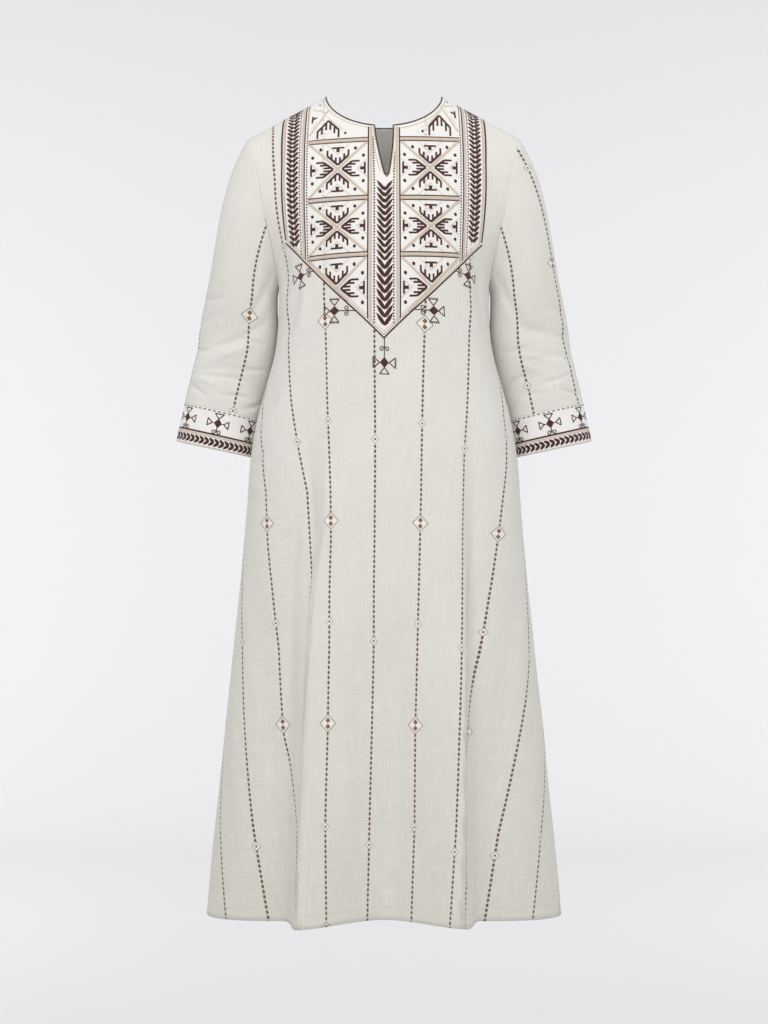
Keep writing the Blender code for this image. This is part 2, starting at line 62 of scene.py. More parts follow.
BODY = np.array([
    (-0.0470, -0.0470, 0.0620, 0.2000, 0.0000, 0.0000, 0.0000, 0.0000, 1.60),
    (-0.0135, -0.0195, 0.0700, 0.1975, 0.0260, 0.0270, 0.0360, 0.0300, 1.58),
    (0.0203, 0.0080, 0.0880, 0.1915, 0.0410, 0.0430, 0.0580, 0.0475, 1.55),
    (0.0539, 0.0360, 0.1100, 0.1855, 0.0500, 0.0530, 0.0755, 0.0620, 1.50),
    (0.0920, 0.0640, 0.1370, 0.1805, 0.0550, 0.0590, 0.0910, 0.0745, 1.42),
    (0.1335, 0.1000, 0.1680, 0.1760, 0.0560, 0.0600, 0.1040, 0.0870, 1.32),
    (0.1700, 0.1520, 0.2000, 0.1690, 0.0510, 0.0560, 0.1130, 0.0970, 1.20),
    (0.2070, 0.2070, 0.2300, 0.1628, 0.0400, 0.0450, 0.1195, 0.1030, 1.08),
    (0.2400, 0.2400, 0.2560, 0.1582, 0.0260, 0.0300, 0.1230, 0.1040, 0.98),
    (0.2660, 0.2660, 0.2740, 0.1557, 0.0130, 0.0150, 0.1240, 0.1030, 0.90),
    (0.2870, 0.2870, 0.2830, 0.1548, 0.0000, 0.0000, 0.1235, 0.1020, 0.85),
    (0.3050, 0.3050, 0.3030, 0.1547, 0.0000, 0.0000, 0.1226, 0.1000, 0.83),
    (0.3370, 0.3370, 0.3370, 0.1558, 0.0000, 0.0000, 0.1213, 0.0966, 0.82),
    (0.3800, 0.3800, 0.3800, 0.1610, 0.0000, 0.0000, 0.1195, 0.0920, 0.82),
    (0.4300, 0.4300, 0.4300, 0.1745, 0.0000, 0.0000, 0.1190, 0.0900, 0.83),
    (0.4800, 0.4800, 0.4800, 0.1880, 0.0000, 0.0000, 0.1205, 0.0920, 0.84),
    (0.5400, 0.5400, 0.5400, 0.1970, 0.0000, 0.0000, 0.1235, 0.0970, 0.85),
    (0.6200, 0.6200, 0.6200, 0.2030, 0.0000, 0.0000, 0.1275, 0.1040, 0.87),
    (0.7200, 0.7200, 0.7200, 0.2120, 0.0000, 0.0000, 0.1320, 0.1130, 0.89),
    (0.8200, 0.8200, 0.8200, 0.2225, 0.0000, 0.0000, 0.1360, 0.1210, 0.91),
    (0.9200, 0.9200, 0.9200, 0.2325, 0.0000, 0.0000, 0.1395, 0.1290, 0.92),
    (1.0200, 1.0200, 1.0200, 0.2430, 0.0000, 0.0000, 0.1425, 0.1370, 0.93),
    (1.1100, 1.1120, 1.1120, 0.2530, 0.0000, 0.0000, 0.1445, 0.1440, 0.94),
    (1.1850, 1.2040, 1.2010, 0.2610, 0.0000, 0.0000, 0.1460, 0.1500, 0.95),
])
HEM_HEIGHT = BODY[-1, 0]
FOLD_COLUMNS = ("start_height", "start_reach", "hem_reach", "hem_depth", "inner_width", "outer_width",
                "lean")
FOLDS = {
    -1: ((0.520, -0.100, -0.118, 0.066, 0.118, 0.026, 0.14),
         (0.430, 0.108, 0.112, 0.060, 0.112, 0.024, 0.14)),
    1: ((0.480, -0.095, -0.150, 0.050, 0.070, 0.055, 0.00),
        (0.620, 0.010, 0.018, 0.034, 0.060, 0.060, 0.00),
        (0.450, 0.105, 0.160, 0.046, 0.060, 0.060, 0.00)),
}
FOLD_GROWTH = 1.25
CURVE_SAMPLES = 400
PANEL_STEPS = 84
NECK_STEPS = 22
SEAM_STEPS = (0.988, 0.995, 1.0)
ROWS_BESIDE_SLIT = 16
ROWS_TO_UNDERARM = 44
ROWS_TO_HEM = 130
ANCHOR_ROW = 13
DROOP = (0.10, 0.05, 0.03)
CLOTH_THICKNESS = 0.0011

# Creases on the front: where each one's middle is, across from the centre and below the origin, its
# run from the vertical in degrees, half length, half width, and depth, negative for a ridge
CREASE_COLUMNS = ("across", "height", "run", "half_length", "half_width", "depth", "bend")
FRONT_CREASES = (
    (-0.1290, 0.320, 14, 0.040, 0.0070, 0.0042, 0.5),
    (-0.1180, 0.322, 12, 0.036, 0.0080, -0.0026, 0.5),
    (-0.1420, 0.262, -8, 0.040, 0.0080, 0.0030, 0.3),
    (0.1400, 0.300, -10, 0.045, 0.0080, 0.0028, -0.4),
    (0.1280, 0.330, -14, 0.030, 0.0070, -0.0018, -0.4),
    (-0.1830, 0.533, 44, 0.016, 0.0050, 0.0032, 0.0),
    (-0.1900, 0.590, 70, 0.012, 0.0045, 0.0026, 0.0),
    (-0.1650, 0.455, 28, 0.035, 0.0090, 0.0022, 0.4),
    (0.1730, 0.470, -24, 0.040, 0.0090, 0.0020, -0.4),
    (-0.1550, 0.120, 18, 0.045, 0.0090, 0.0020, 0.0),
    (0.1580, 0.125, -20, 0.045, 0.0090, 0.0022, 0.0),
    (-0.0400, 0.640, 3, 0.120, 0.0150, 0.0012, 0.0),
    (0.0350, 0.520, -4, 0.110, 0.0160, 0.0012, 0.3),
    (0.0200, 0.900, 2, 0.170, 0.0140, 0.0022, 0.0),
    (-0.0560, 0.980, -3, 0.150, 0.0130, -0.0018, 0.0),
    (-0.1650, 0.900, -6, 0.180, 0.0140, 0.0030, 0.0),
    (-0.2050, 1.050, -8, 0.120, 0.0120, -0.0020, 0.0),
    (0.1750, 0.860, 7, 0.200, 0.0140, 0.0030, 0.0),
    (0.2150, 1.020, 9, 0.130, 0.0130, -0.0024, 0.0),
    (0.0700, 1.080, 5, 0.090, 0.0100, 0.0014, 0.0),
    (-0.0150, 0.450, 6, 0.060, 0.0140, 0.0008, 0.0),
    (0.0850, 0.700, 3, 0.130, 0.0160, -0.0012, 0.0),
    (-0.1250, 1.020, 2.6, 0.300, 0.0075, 0.0085, 0.0),
    (-0.1080, 1.020, 2.6, 0.280, 0.0100, -0.0030, 0.0),
    (0.1225, 1.050, 0.6, 0.260, 0.0070, 0.0085, 0.0),
    (0.1070, 1.050, 0.6, 0.240, 0.0090, -0.0030, 0.0),
    (-0.1060, 0.700, 3.0, 0.110, 0.0100, 0.0030, 0.0),
    (0.1180, 0.660, 1.0, 0.130, 0.0100, 0.0026, 0.0),
)

# Cloth that lies hidden under the front's forward folds: for distances down, where the fold's edge is
# and how much wider the flat cloth is there than the arc that shows, at places from left to right
TAKEN_COLUMNS = ("down", "left_fold", "right_fold", "half_step",
                 "left_side", "left_outside", "left_inside", "centre",
                 "right_middle", "right_inside", "right_outside", "right_side")
TAKEN_UP = np.array([
    (0.30, 0.100, 0.150, 0.020, 0.000, 0.000, 0.000, 0.000, 0.000, 0.000, 0.000, 0.000),
    (0.45, 0.100, 0.145, 0.018, -0.030, -0.022, -0.006, 0.000, 0.004, 0.012, 0.010, 0.008),
    (0.52, 0.098, 0.140, 0.014, -0.048, -0.036, -0.010, 0.000, 0.005, 0.019, 0.015, 0.009),
    (0.58, 0.094, 0.134, 0.010, -0.055, -0.050, -0.013, 0.001, 0.006, 0.021, 0.025, 0.016),
    (0.65, 0.092, 0.130, 0.006, -0.055, -0.054, -0.015, 0.002, 0.008, 0.023, 0.036, 0.022),
    (0.72, 0.103, 0.126, 0.003, -0.060, -0.060, -0.015, 0.003, 0.010, 0.024, 0.048, 0.024),
    (0.80, 0.108, 0.122, 0.002, -0.066, -0.064, -0.015, 0.003, 0.012, 0.025, 0.060, 0.024),
    (0.92, 0.119, 0.118, 0.002, -0.065, -0.055, -0.012, 0.006, 0.015, 0.027, 0.074, 0.042),
    (1.05, 0.131, 0.120, 0.002, -0.064, -0.088, -0.004, 0.009, 0.015, 0.029, 0.085, 0.060),
    (1.19, 0.134, 0.120, 0.002, -0.069, -0.090, -0.002, 0.013, 0.020, 0.035, 0.085, 0.068),
])
TAKEN_SIDE_PLACE = 0.250
TAKEN_MIDDLE_PLACE = 0.045


def through(values, at):
    """Smooth curve through a column of a table, one knot a row: cubic Hermite pieces whose slope at
    a knot is half the step from the knot before it to the knot after it."""
    values = np.asarray(values, float)
    slopes = np.gradient(values)
    low = np.clip(np.floor(at).astype(int), 0, len(values) - 2)
    t = at - low
    return (values[low] * (1 + 2 * t) * (1 - t) ** 2 + slopes[low] * t * (1 - t) ** 2
            + values[low + 1] * t * t * (3 - 2 * t) + slopes[low + 1] * t * t * (t - 1))


def body_column(name, at):
    """One named column of the body table as a smooth curve."""
    return through(BODY[:, BODY_COLUMNS.index(name)], at)


def section_height(rows, x, face):
    """Height below the origin along each section: middle + (side - middle) * (x / reach) ** power,
    straight along the shoulder seam and bowed below it."""
    middle = body_column("front_height" if face < 0 else "back_height", rows)[:, None]
    side = body_column("side_height", rows)[:, None]
    reach = body_column("side_reach", rows)[:, None]
    power = 1.0 + ROW_DIP * np.sin(np.pi / 2 * np.minimum(rows / NECK_ROW, 1.0))[:, None]
    return middle + (side - middle) * np.clip(x / reach, 0.0, 1.0) ** power


def edge_of_neck(rows, side, face):
    """Reach of the cloth's inner edge: where a section crosses the neck's ellipse, then the slit's
    leaning edge on the front, then the line where the halves join."""
    x = np.linspace(0.0, NECK_HALF_WIDTH, CURVE_SAMPLES)[None, :]
    height = np.maximum(section_height(rows, x, face), 0.0)
    outside = (x / NECK_HALF_WIDTH) ** 2 + (height / NECK_DEPTHS[face]) ** 2
    round_neck = np.array([np.interp(1.0, row, x[0]) for row in outside])
    if face > 0:
        return np.where(rows < NECK_ROW, round_neck, 0.0)
    down = np.clip((rows - NECK_ROW) / (SLIT_FOOT_ROW - NECK_ROW), 0.0, 1.0)
    half = SLIT_FOOT_HALF_WIDTH + (SLIT_HALF_WIDTH - SLIT_FOOT_HALF_WIDTH) * (1 - down ** SLIT_CURVE)
    half = np.where(rows < SLIT_ROW, half, 0.0)
    middle = SLIT_LEAN * np.interp(rows, (NECK_ROW, SLIT_ROW, UNDERARM_ROW), (0.0, 1.0, 0.0))
    return np.where(rows < NECK_ROW, round_neck, half + side * middle)


def panel_rows(face):
    """Rows from the shoulder seam to the hem, at even angles round the neck and closer together
    beside the slit and the armhole."""
    fine = np.linspace(0.0, NECK_ROW, CURVE_SAMPLES)
    heights = section_height(fine, edge_of_neck(fine, 1, face)[:, None], face)[:, 0]
    last = np.arcsin(min(heights[-1] / NECK_DEPTHS[face], 1.0))
    neck = np.interp(NECK_DEPTHS[face] * np.sin(np.linspace(0.0, last, NECK_STEPS)), heights, fine)
    beside_slit = np.linspace(NECK_ROW, SLIT_FOOT_ROW, ROWS_BESIDE_SLIT)[1:]
    to_underarm = np.linspace(SLIT_ROW, UNDERARM_ROW, ROWS_TO_UNDERARM)
    return np.concatenate([neck, beside_slit, to_underarm,
                           np.linspace(UNDERARM_ROW, len(BODY) - 1, ROWS_TO_HEM)[1:]])


def half_panel(side, face, rows, steps):
    """One half of the front (face -1) or the back (face +1), on the left (side -1) or the right, and
    each point's distance across the flat cloth from the centre line.

    Each row is an arc: x goes as the sine of an angle and y = depth * cosine ** roundness, up to the
    angle where y comes down to the armhole's notch. Cosine-shaped folds push it out along y, and it is
    read at even steps of its own length.
    """
    inner = edge_of_neck(rows, side, face)
    reach = body_column("side_reach", rows)[:, None]
    middle_height = section_height(rows, 0.0, face)
    notch = body_column("front_notch" if face < 0 else "back_notch", rows)
    notch = np.where(rows < UNDERARM_ROW, notch, 0.0)[:, None]
    depth = body_column("front_depth" if face < 0 else "back_depth", rows)[:, None]
    depth = np.maximum(depth, LEAST_DEPTH)
    power = body_column("roundness", rows)[:, None]
    last = np.arccos(np.clip(notch / depth, 0.0, 1.0) ** (1.0 / power))
    t = (last + BEFORE_CENTRE) * np.linspace(0.0, 1.0, CURVE_SAMPLES)[None, :] - BEFORE_CENTRE
    x = reach * np.sin(t) / np.sin(last)
    y = depth * np.clip(np.cos(t), 0.0, 1.0) ** power
    y = np.where(rows[:, None] > 0.0, y, 0.0)
    lean = np.zeros_like(x)
    for row in FOLDS[face]:
        fold = dict(zip(FOLD_COLUMNS, row))
        outward = side * np.sign(fold["hem_reach"])
        run = HEM_HEIGHT - fold["start_height"]
        grown = np.clip((middle_height - fold["start_height"]) / run, 0.0, 1.0)
        crest = np.abs(fold["start_reach"] + (fold["hem_reach"] - fold["start_reach"]) * grown)
        off = outward * x - crest
        flank = np.where(off < 0.0, fold["inner_width"], fold["outer_width"])
        bump = 0.5 * (1.0 + np.cos(np.pi * np.clip(off / flank, -1.0, 1.0)))
        amount = fold["hem_depth"] * grown ** FOLD_GROWTH * bump
        y = y + amount
        lean = lean + outward * fold["lean"] * amount
    x = x + lean
    arc = np.concatenate([np.zeros((len(rows), 1)),
                          np.cumsum(np.hypot(np.diff(x), np.diff(y)), axis=1)], axis=1)
    arc = arc - np.array([np.interp(0.0, row, a) for row, a in zip(x, arc)])[:, None]
    first = np.array([np.interp(edge, row, a) for edge, row, a in zip(inner, x, arc)])
    across = first[:, None] + (arc[:, -1] - first)[:, None] * steps[None, :]
    xs = np.array([np.interp(want, a, row) for want, a, row in zip(across, arc, x)])
    ys = np.array([np.interp(want, a, row) for want, a, row in zip(across, arc, y)])
    points = np.stack([side * xs, face * ys, -section_height(rows, xs, face)], axis=-1)
    return points, side * across


def grid_normals(grid, sign):
    """Unit normals of a grid of points: the cross product of its row and column steps."""
    normal = np.cross(np.gradient(grid, axis=0), np.gradient(grid, axis=1)) * sign
    return normal / np.maximum(np.linalg.norm(normal, axis=-1, keepdims=True), LEAST_DEPTH)


def crease_offsets(across, height, creases):
    """How far creases press the cloth in: for each, depth * exp(-(off / half width) ** 2) *
    exp(-(along / half length) ** 2), with its line bent by the square of the distance along it."""
    pressed = np.zeros_like(across)
    for row in creases:
        crease = dict(zip(CREASE_COLUMNS, row))
        run = np.radians(crease["run"])
        dx = across - crease["across"]
        dh = height - crease["height"]
        along = (dh * np.cos(run) - dx * np.sin(run)) / crease["half_length"]
        off = (dx * np.cos(run) + dh * np.sin(run)) / crease["half_width"] + crease["bend"] * along ** 2
        pressed += crease["depth"] * np.exp(-off ** 2 - along ** 2)
    return pressed


def length_down(points, across):
    """Length down the flat cloth from the first row: each step down a column is the long side of a
    right triangle whose short side is the step across, so down = sqrt(step ** 2 - across step ** 2)."""
    steps = np.sum(np.diff(points, axis=0) ** 2, axis=-1) - np.diff(across, axis=0) ** 2
    steps = np.sqrt(np.maximum(steps, LEAST_DEPTH ** 2))
    return np.concatenate([np.zeros((1, points.shape[1])), np.cumsum(steps, axis=0)])


def distance_down(points, across, anchor):
    """Distance down the flat cloth, counted so that at the anchor row it is the height below the
    origin, less a droop that grows towards the sides."""
    length = length_down(points, across)
    even, lopsided, flat_middle = DROOP
    side = across[anchor]
    droop = even * (np.hypot(side, flat_middle) - flat_middle) + lopsided * side
    return length - length[anchor] + (-points[anchor, :, 2] - droop)


def taken_up(across, down):
    """How much further across the flat cloth a place is than along the arc that shows: straight
    lines between the taken-up table's places, whose values go straight from row to row."""
    at = {name: np.interp(down, TAKEN_UP[:, 0], column)
          for name, column in zip(TAKEN_COLUMNS, TAKEN_UP.T)}
    step, side_place = at["half_step"], np.full_like(down, TAKEN_SIDE_PLACE)
    places = (-side_place, -at["left_fold"] - step, -at["left_fold"] + step, np.zeros_like(down),
              np.full_like(down, TAKEN_MIDDLE_PLACE), at["right_fold"] - step, at["right_fold"] + step,
              side_place)
    values = [at[name] for name in TAKEN_COLUMNS[4:]]
    total = values[0]
    for (low, low_value), (high, high_value) in zip(zip(places, values), zip(places[1:], values[1:])):
        total = total + (high_value - low_value) * np.clip((across - low) / (high - low), 0.0, 1.0)
    return total


class Sheet:
    """A grid of cloth points with its flat map, on which thread is laid by its flat place."""

    def __init__(self, points, normals, across, down):
        self.points, self.normals, self.across, self.down = points, normals, across, down

    def read(self, field, row, column):
        """A field of the grid between its points, as a blend of the four round a place."""
        rows, columns = field.shape[:2]
        r = np.clip(np.floor(row).astype(int), 0, rows - 2)
        c = np.clip(np.floor(column).astype(int), 0, columns - 2)
        a, b = row - r, column - c
        if field.ndim > 2:
            a, b = a[..., None], b[..., None]
        return ((1 - a) * (1 - b) * field[r, c] + a * (1 - b) * field[r + 1, c]
                + (1 - a) * b * field[r, c + 1] + a * b * field[r + 1, c + 1])

    def find(self, u, v):
        """Row and column of a flat place, by Newton's steps from a first guess."""
        rows, columns = self.across.shape
        row = np.interp(v, self.down[:, columns // 2], np.arange(rows))
        width = self.read(self.across, row, np.full_like(row, columns - 1.0))
        first = self.read(self.across, row, np.zeros_like(row))
        column = np.clip((u - first) / (width - first), 0.0, 1.0) * (columns - 1)
        for _ in range(12):
            r = np.clip(np.floor(row).astype(int), 0, rows - 2)
            c = np.clip(np.floor(column).astype(int), 0, columns - 2)
            off_u = u - self.read(self.across, row, column)
            off_v = v - self.read(self.down, row, column)
            ur = self.across[r + 1, c] - self.across[r, c]
            uc = self.across[r, c + 1] - self.across[r, c]
            vr = self.down[r + 1, c] - self.down[r, c]
            vc = self.down[r, c + 1] - self.down[r, c]
            det = ur * vc - uc * vr
            row = np.clip(row + (off_u * vc - off_v * uc) / det, -0.5, rows - 0.5)
            column = np.clip(column + (off_v * ur - off_u * vr) / det, -0.5, columns - 0.5)
        return row, column

    def place(self, u, v, lift):
        """Points at flat places, raised from the cloth by a lift."""
        row, column = self.find(u, v)
        normal = self.read(self.normals, row, column)
        normal = normal / np.linalg.norm(normal, axis=-1, keepdims=True)
        return self.read(self.points, row, column) + lift[..., None] * normal


def met(left, right, joined):
    """Two halves' values, the same in both along the first column, as their mean, where they join."""
    mean = np.where(joined[:, None], (left[:, 0] + right[:, 0]) / 2, 0.0)
    for half in (left, right):
        half[joined, 0] = mean[joined]
    return {-1: left, 1: right}


class Panel:
    """The two halves of a front or a back, each a sheet, meeting along the centre line."""

    def __init__(self, face, creases):
        self.rows = panel_rows(face)
        steps = np.append(np.linspace(0.0, SEAM_STEPS[0], PANEL_STEPS), SEAM_STEPS[1:])
        anchor = int(np.searchsorted(self.rows, ANCHOR_ROW))
        joined = self.rows >= (SLIT_ROW if face < 0 else NECK_ROW)
        seam = np.clip((1.0 - steps) / (1.0 - SEAM_STEPS[0]), 0.0, 1.0)
        flat = {side: half_panel(side, face, self.rows, steps) for side in (-1, 1)}
        normals = met(*(grid_normals(flat[side][0], -side * face) for side in (-1, 1)), joined)
        pressed = []
        for side in (-1, 1):
            points = flat[side][0]
            depth = crease_offsets(points[..., 0], -points[..., 2], creases) * seam
            pressed.append(points - normals[side] * depth[..., None])
        pressed = met(*pressed, joined)
        normals = met(*(grid_normals(pressed[side], -side * face) for side in (-1, 1)), joined)
        self.halves = {}
        for side in (-1, 1):
            across = flat[side][1]
            down = distance_down(pressed[side], across, anchor)
            if face < 0:
                across = across + taken_up(across, down)
            self.halves[side] = Sheet(pressed[side], normals[side], across, down)

    def place(self, u, v, lift):
        """Points at flat places on either half, raised from the cloth by a lift."""
        left = self.halves[-1].place(np.minimum(u, 0.0), v, lift)
        right = self.halves[1].place(np.maximum(u, 0.0), v, lift)
        return np.where((u < 0.0)[..., None], left, right)


def grid_faces(rows, columns, flip=False):
    """Four-sided faces of a grid of points, rows first."""
    r, c = np.meshgrid(np.arange(rows - 1), np.arange(columns - 1), indexing="ij")
    r, c = r.ravel(), c.ravel()
    faces = np.stack([r * columns + c, r * columns + c + 1,
                      (r + 1) * columns + c + 1, (r + 1) * columns + c], axis=1)
    return faces[:, ::-1] if flip else faces


def sheet_mesh(name, grids, material, thickness):
    """A cloth piece from grids of (points, across, down, flip): coinciding points become one, the
    flat map is stored for each face's corner, and Solidify gives the wall on the inner side."""
    points, faces, flat, first = [], [], [], 0
    for grid, across, down, flip in grids:
        quads = grid_faces(*grid.shape[:2], flip)
        points.append(grid.reshape(-1, 3))
        flat.append(np.stack([across.ravel(), down.ravel()], axis=-1)[quads.ravel()])
        faces.append(quads + first)
        first += grid.shape[0] * grid.shape[1]
    points, faces, flat = np.concatenate(points), np.concatenate(faces), np.concatenate(flat)
    _, kept, merged = np.unique(np.round(points, 6), axis=0, return_index=True, return_inverse=True)
    faces = merged.ravel()[faces]
    mesh = bpy.data.meshes.new(name)
    mesh.from_pydata(points[kept].tolist(), [], faces.tolist())
    mesh.uv_layers.new(name="flat").data.foreach_set("uv", flat.astype(np.float32).ravel())
    mesh.shade_smooth()
    mesh.materials.append(material)
    piece = bpy.data.objects.new(name, mesh)
    bpy.context.collection.objects.link(piece)
    if thickness:
        wall = piece.modifiers.new("wall", "SOLIDIFY")
        wall.thickness = thickness
        wall.offset = -1.0
        wall.use_rim = True
    return piece


class Wire:
    """A socket of a material's nodes, on which sums are written as on a number."""

    def __init__(self, tree, socket):
        self.tree, self.socket = tree, socket

    def node(self, kind, settings=(), inputs=(), output=0):
        """Adds a node of a kind, makes its settings, then gives its sockets values or links."""
        made = self.tree.nodes.new("ShaderNode" + kind)
        for name, value in dict(settings).items():
            setattr(made, name, value)
        for key, value in dict(inputs).items():
            if isinstance(value, Wire):
                self.tree.links.new(value.socket, made.inputs[key])
            else:
                made.inputs[key].default_value = value
        return Wire(self.tree, made.outputs[output])

    def math(self, operation, *values):
        return self.node("Math", {"operation": operation}, enumerate(values))

    def __add__(self, other):
        return self.math("ADD", self, other)

    def __radd__(self, other):
        return self.math("ADD", other, self)

    def __sub__(self, other):
        return self.math("SUBTRACT", self, other)

    def __rsub__(self, other):
        return self.math("SUBTRACT", other, self)

    def __mul__(self, other):
        return self.math("MULTIPLY", self, other)

    def __rmul__(self, other):
        return self.math("MULTIPLY", other, self)

    def __truediv__(self, other):
        return self.math("DIVIDE", self, other)

    def __abs__(self):
        return self.math("ABSOLUTE", self)

    def wave(self):
        return self.math("SINE", self)

    def least(self, other):
        return self.math("MINIMUM", self, other)

    def most(self, other):
        return self.math("MAXIMUM", self, other)

    def under(self, limit, softness):
        """1 below a limit and 0 above it, with a soft step between."""
        return self.node("MapRange", {"interpolation_type": "SMOOTHSTEP"},
                         {0: self, 1: limit - softness, 2: limit + softness, 3: 1.0, 4: 0.0})

    def repeated(self, spacing):
        """Distance to the middle of the nearest of places a spacing apart, positive or negative."""
        return self.math("WRAP", self, spacing / 2, -spacing / 2)

    def mixed(self, from_colour, to_colour):
        """A colour between two, this wire being the share of the second."""
        return self.node("Mix", {"data_type": "RGBA"}, {0: self, 6: from_colour, 7: to_colour}, output=2)


def finish_material(name, roughness, sheen, colour, height, bump_distance, bump_strength=1.0):
    """A Principled material from two functions of its first wire: a colour and a bump's height."""
    material = bpy.data.materials.new(name)
    material.use_nodes = True
    tree = material.node_tree
    shader = tree.nodes["Principled BSDF"]
    shader.inputs["Roughness"].default_value = roughness
    shader.inputs["Specular IOR Level"].default_value = 0.25
    shader.inputs["Sheen Weight"].default_value = sheen
    shader.inputs["Sheen Roughness"].default_value = 0.5
    start = Wire(tree, tree.nodes.new("ShaderNodeTexCoord").outputs["Object"])
    flat = start.node("UVMap", {"uv_map": "flat"})
    across = start.node("SeparateXYZ", (), {0: flat}, output=0)
    down = start.node("SeparateXYZ", (), {0: flat}, output=1)
    tree.links.new(colour(start, across, down).socket, shader.inputs["Base Color"])
    bump = start.node("Bump", (), {"Strength": bump_strength, "Distance": bump_distance,
                                   "Height": height(start, across, down)})
    tree.links.new(bump.socket, shader.inputs["Normal"])
    return material


def noise(wire, across, down, across_scale, down_scale, detail=2.0, height=0.0):
    """Noise on the flat map, with its own scale across and down the cloth."""
    place = wire.node("CombineXYZ", (), {0: across * across_scale, 1: down * down_scale, 2: height})
    return wire.node("TexNoise", {"noise_dimensions": "3D"},
                     {"Vector": place, "Scale": 1.0, "Detail": detail})


# Woven stripes of the cloth: dotted brown lines a stripe spacing apart. Every other line carries a
# big outlined diamond with two lozenges, and a small one half way. The lines between carry a small
# diamond a little lower down.
STRIPE_SPACING = 0.074
DIAMOND_REPEAT = 0.286
SMALL_DIAMOND_LAG = 0.028
DOT_PITCH = 0.0071
DOT_HALF = (0.0018, 0.0024)
BIG_DIAMOND = 0.0140
BIG_OUTLINE = 0.0024
LOZENGE = 0.0041
LOZENGE_OFFSET = 0.0043
SMALL_DIAMOND = 0.0068
SMALL_OUTLINE = 0.0016
BODY_STRIPE_PLACE = -0.014
BODY_DIAMOND_PLACE = 0.3370
CLOTH_LIGHT = (0.765, 0.752, 0.702, 1.0)
CLOTH_DARK = (0.684, 0.668, 0.602, 1.0)
CLOTH_SLUB = (0.825, 0.805, 0.745, 1.0)
# Darker, warmer tone towards the hem: partly painted shade, partly a warmer tone of the cloth
CLOTH_HEM_TONE_AND_SHADE = (0.600, 0.580, 0.490, 1.0)
STRIPE_BROWN = (0.155, 0.074, 0.038, 1.0)
LOZENGE_BROWN = (0.250, 0.115, 0.052, 1.0)
DIAMOND_GREY = (0.370, 0.330, 0.265, 1.0)
DIAMOND_WHITE = (0.830, 0.820, 0.785, 1.0)
GROUND_WHITE = (0.870, 0.850, 0.815, 1.0)


def stripes(wire, across, down, stripe_place, diamond_place, odd_line, spacing):
    """Shares of the brown dots and lozenges, of the grey outlines and of the white fill at a place.

    A line's own distance comes from wrapping the distance across by the spacing, and whether it is
    one of the lines with big diamonds from wrapping by twice the spacing."""
    off = (across - stripe_place).repeated(spacing)
    pair = abs((across - (stripe_place + odd_line * spacing)).repeated(2 * spacing))
    has_big = pair.under(spacing / 2, 1e-5)
    big_down = (down - diamond_place).repeated(DIAMOND_REPEAT)
    small_down = (down - (diamond_place + DIAMOND_REPEAT / 2)).repeated(DIAMOND_REPEAT)
    lagging = (down - (diamond_place + DIAMOND_REPEAT / 2 + SMALL_DIAMOND_LAG)).repeated(DIAMOND_REPEAT)
    small_down = has_big * small_down + (1.0 - has_big) * lagging
    big_far = abs(off) + abs(big_down) * (BIG_DIAMOND / (BIG_DIAMOND - 0.001))
    small_far = abs(off) + abs(small_down)
    in_big = big_far.under(BIG_DIAMOND, 0.0003) * has_big
    in_small = small_far.under(SMALL_DIAMOND, 0.0003)
    big_fill = big_far.under(BIG_DIAMOND - BIG_OUTLINE, 0.0004) * has_big
    small_fill = small_far.under(SMALL_DIAMOND - SMALL_OUTLINE, 0.0003)
    lozenges = (abs(off) + abs(abs(big_down) - LOZENGE_OFFSET)).under(LOZENGE, 0.0003) * has_big
    middle_dot = (off * off + small_down * small_down).under(0.0016 ** 2, 0.6e-6)
    dot_down = down.repeated(DOT_PITCH)
    worn = noise(wire, across, down, 12.0, 260.0, 1.0)
    dot_far = (off * off) / DOT_HALF[0] ** 2 + (dot_down * dot_down) / DOT_HALF[1] ** 2
    dots = dot_far.under(1.0, 0.35) * (1.0 - in_big) * (1.0 - in_small) * (0.62 + 0.5 * worn)
    thread = (abs(off) / DOT_HALF[0]).under(0.9, 0.4) * 0.16 * (1.0 - in_big) * (1.0 - in_small)
    brown = (dots + thread).most(middle_dot).least(1.0)
    grey = (in_big - big_fill).most((in_small - small_fill) * 0.9).most(0.0)
    white = big_fill.most(small_fill)
    return brown, lozenges, grey, white


def slub_colour(wire, across, down):
    """Natural linen and cotton: cloudy patches, a darkening and warming towards the hem that is partly
    painted shade and partly a warmer tone of the cloth, and darker and lighter thick threads both ways."""
    cloud = noise(wire, across, down, 9.0, 7.0, 3.0)
    warp = noise(wire, across, down, 900.0, 22.0, 1.0)
    weft = noise(wire, across, down, 26.0, 900.0, 1.0, 3.0)
    shade = cloud.node("MapRange", (), {0: cloud, 1: 0.30, 2: 0.70, 3: 0.75, 4: 0.25})
    tone = shade.mixed(CLOTH_LIGHT, CLOTH_DARK)
    slub = (warp.node("MapRange", (), {0: warp, 1: 0.52, 2: 0.80, 3: 0.0, 4: 0.55})
            + weft.node("MapRange", (), {0: weft, 1: 0.55, 2: 0.80, 3: 0.0, 4: 0.60})).least(1.0)
    # Painted shade, with a warmer tone of the cloth: darker and warmer further down the flat map
    low = down.node("MapRange", (), {0: down, 1: 0.45, 2: 1.15, 3: 0.0, 4: 0.50})
    tone = low.mixed(tone, CLOTH_HEM_TONE_AND_SHADE)
    thin = (1.0 - warp).least(1.0 - weft).node("MapRange", (), {0: (1.0 - warp) * (1.0 - weft),
                                                             1: 0.36, 2: 0.60, 3: 0.0, 4: 0.5})
    return thin.mixed(slub.mixed(tone, CLOTH_SLUB), CLOTH_DARK)


WARP_PITCH = 0.0011
WEFT_PITCH = 0.0012
CRUMPLE_SHARE = 3.6
WEAVE_BUMP = 0.00035


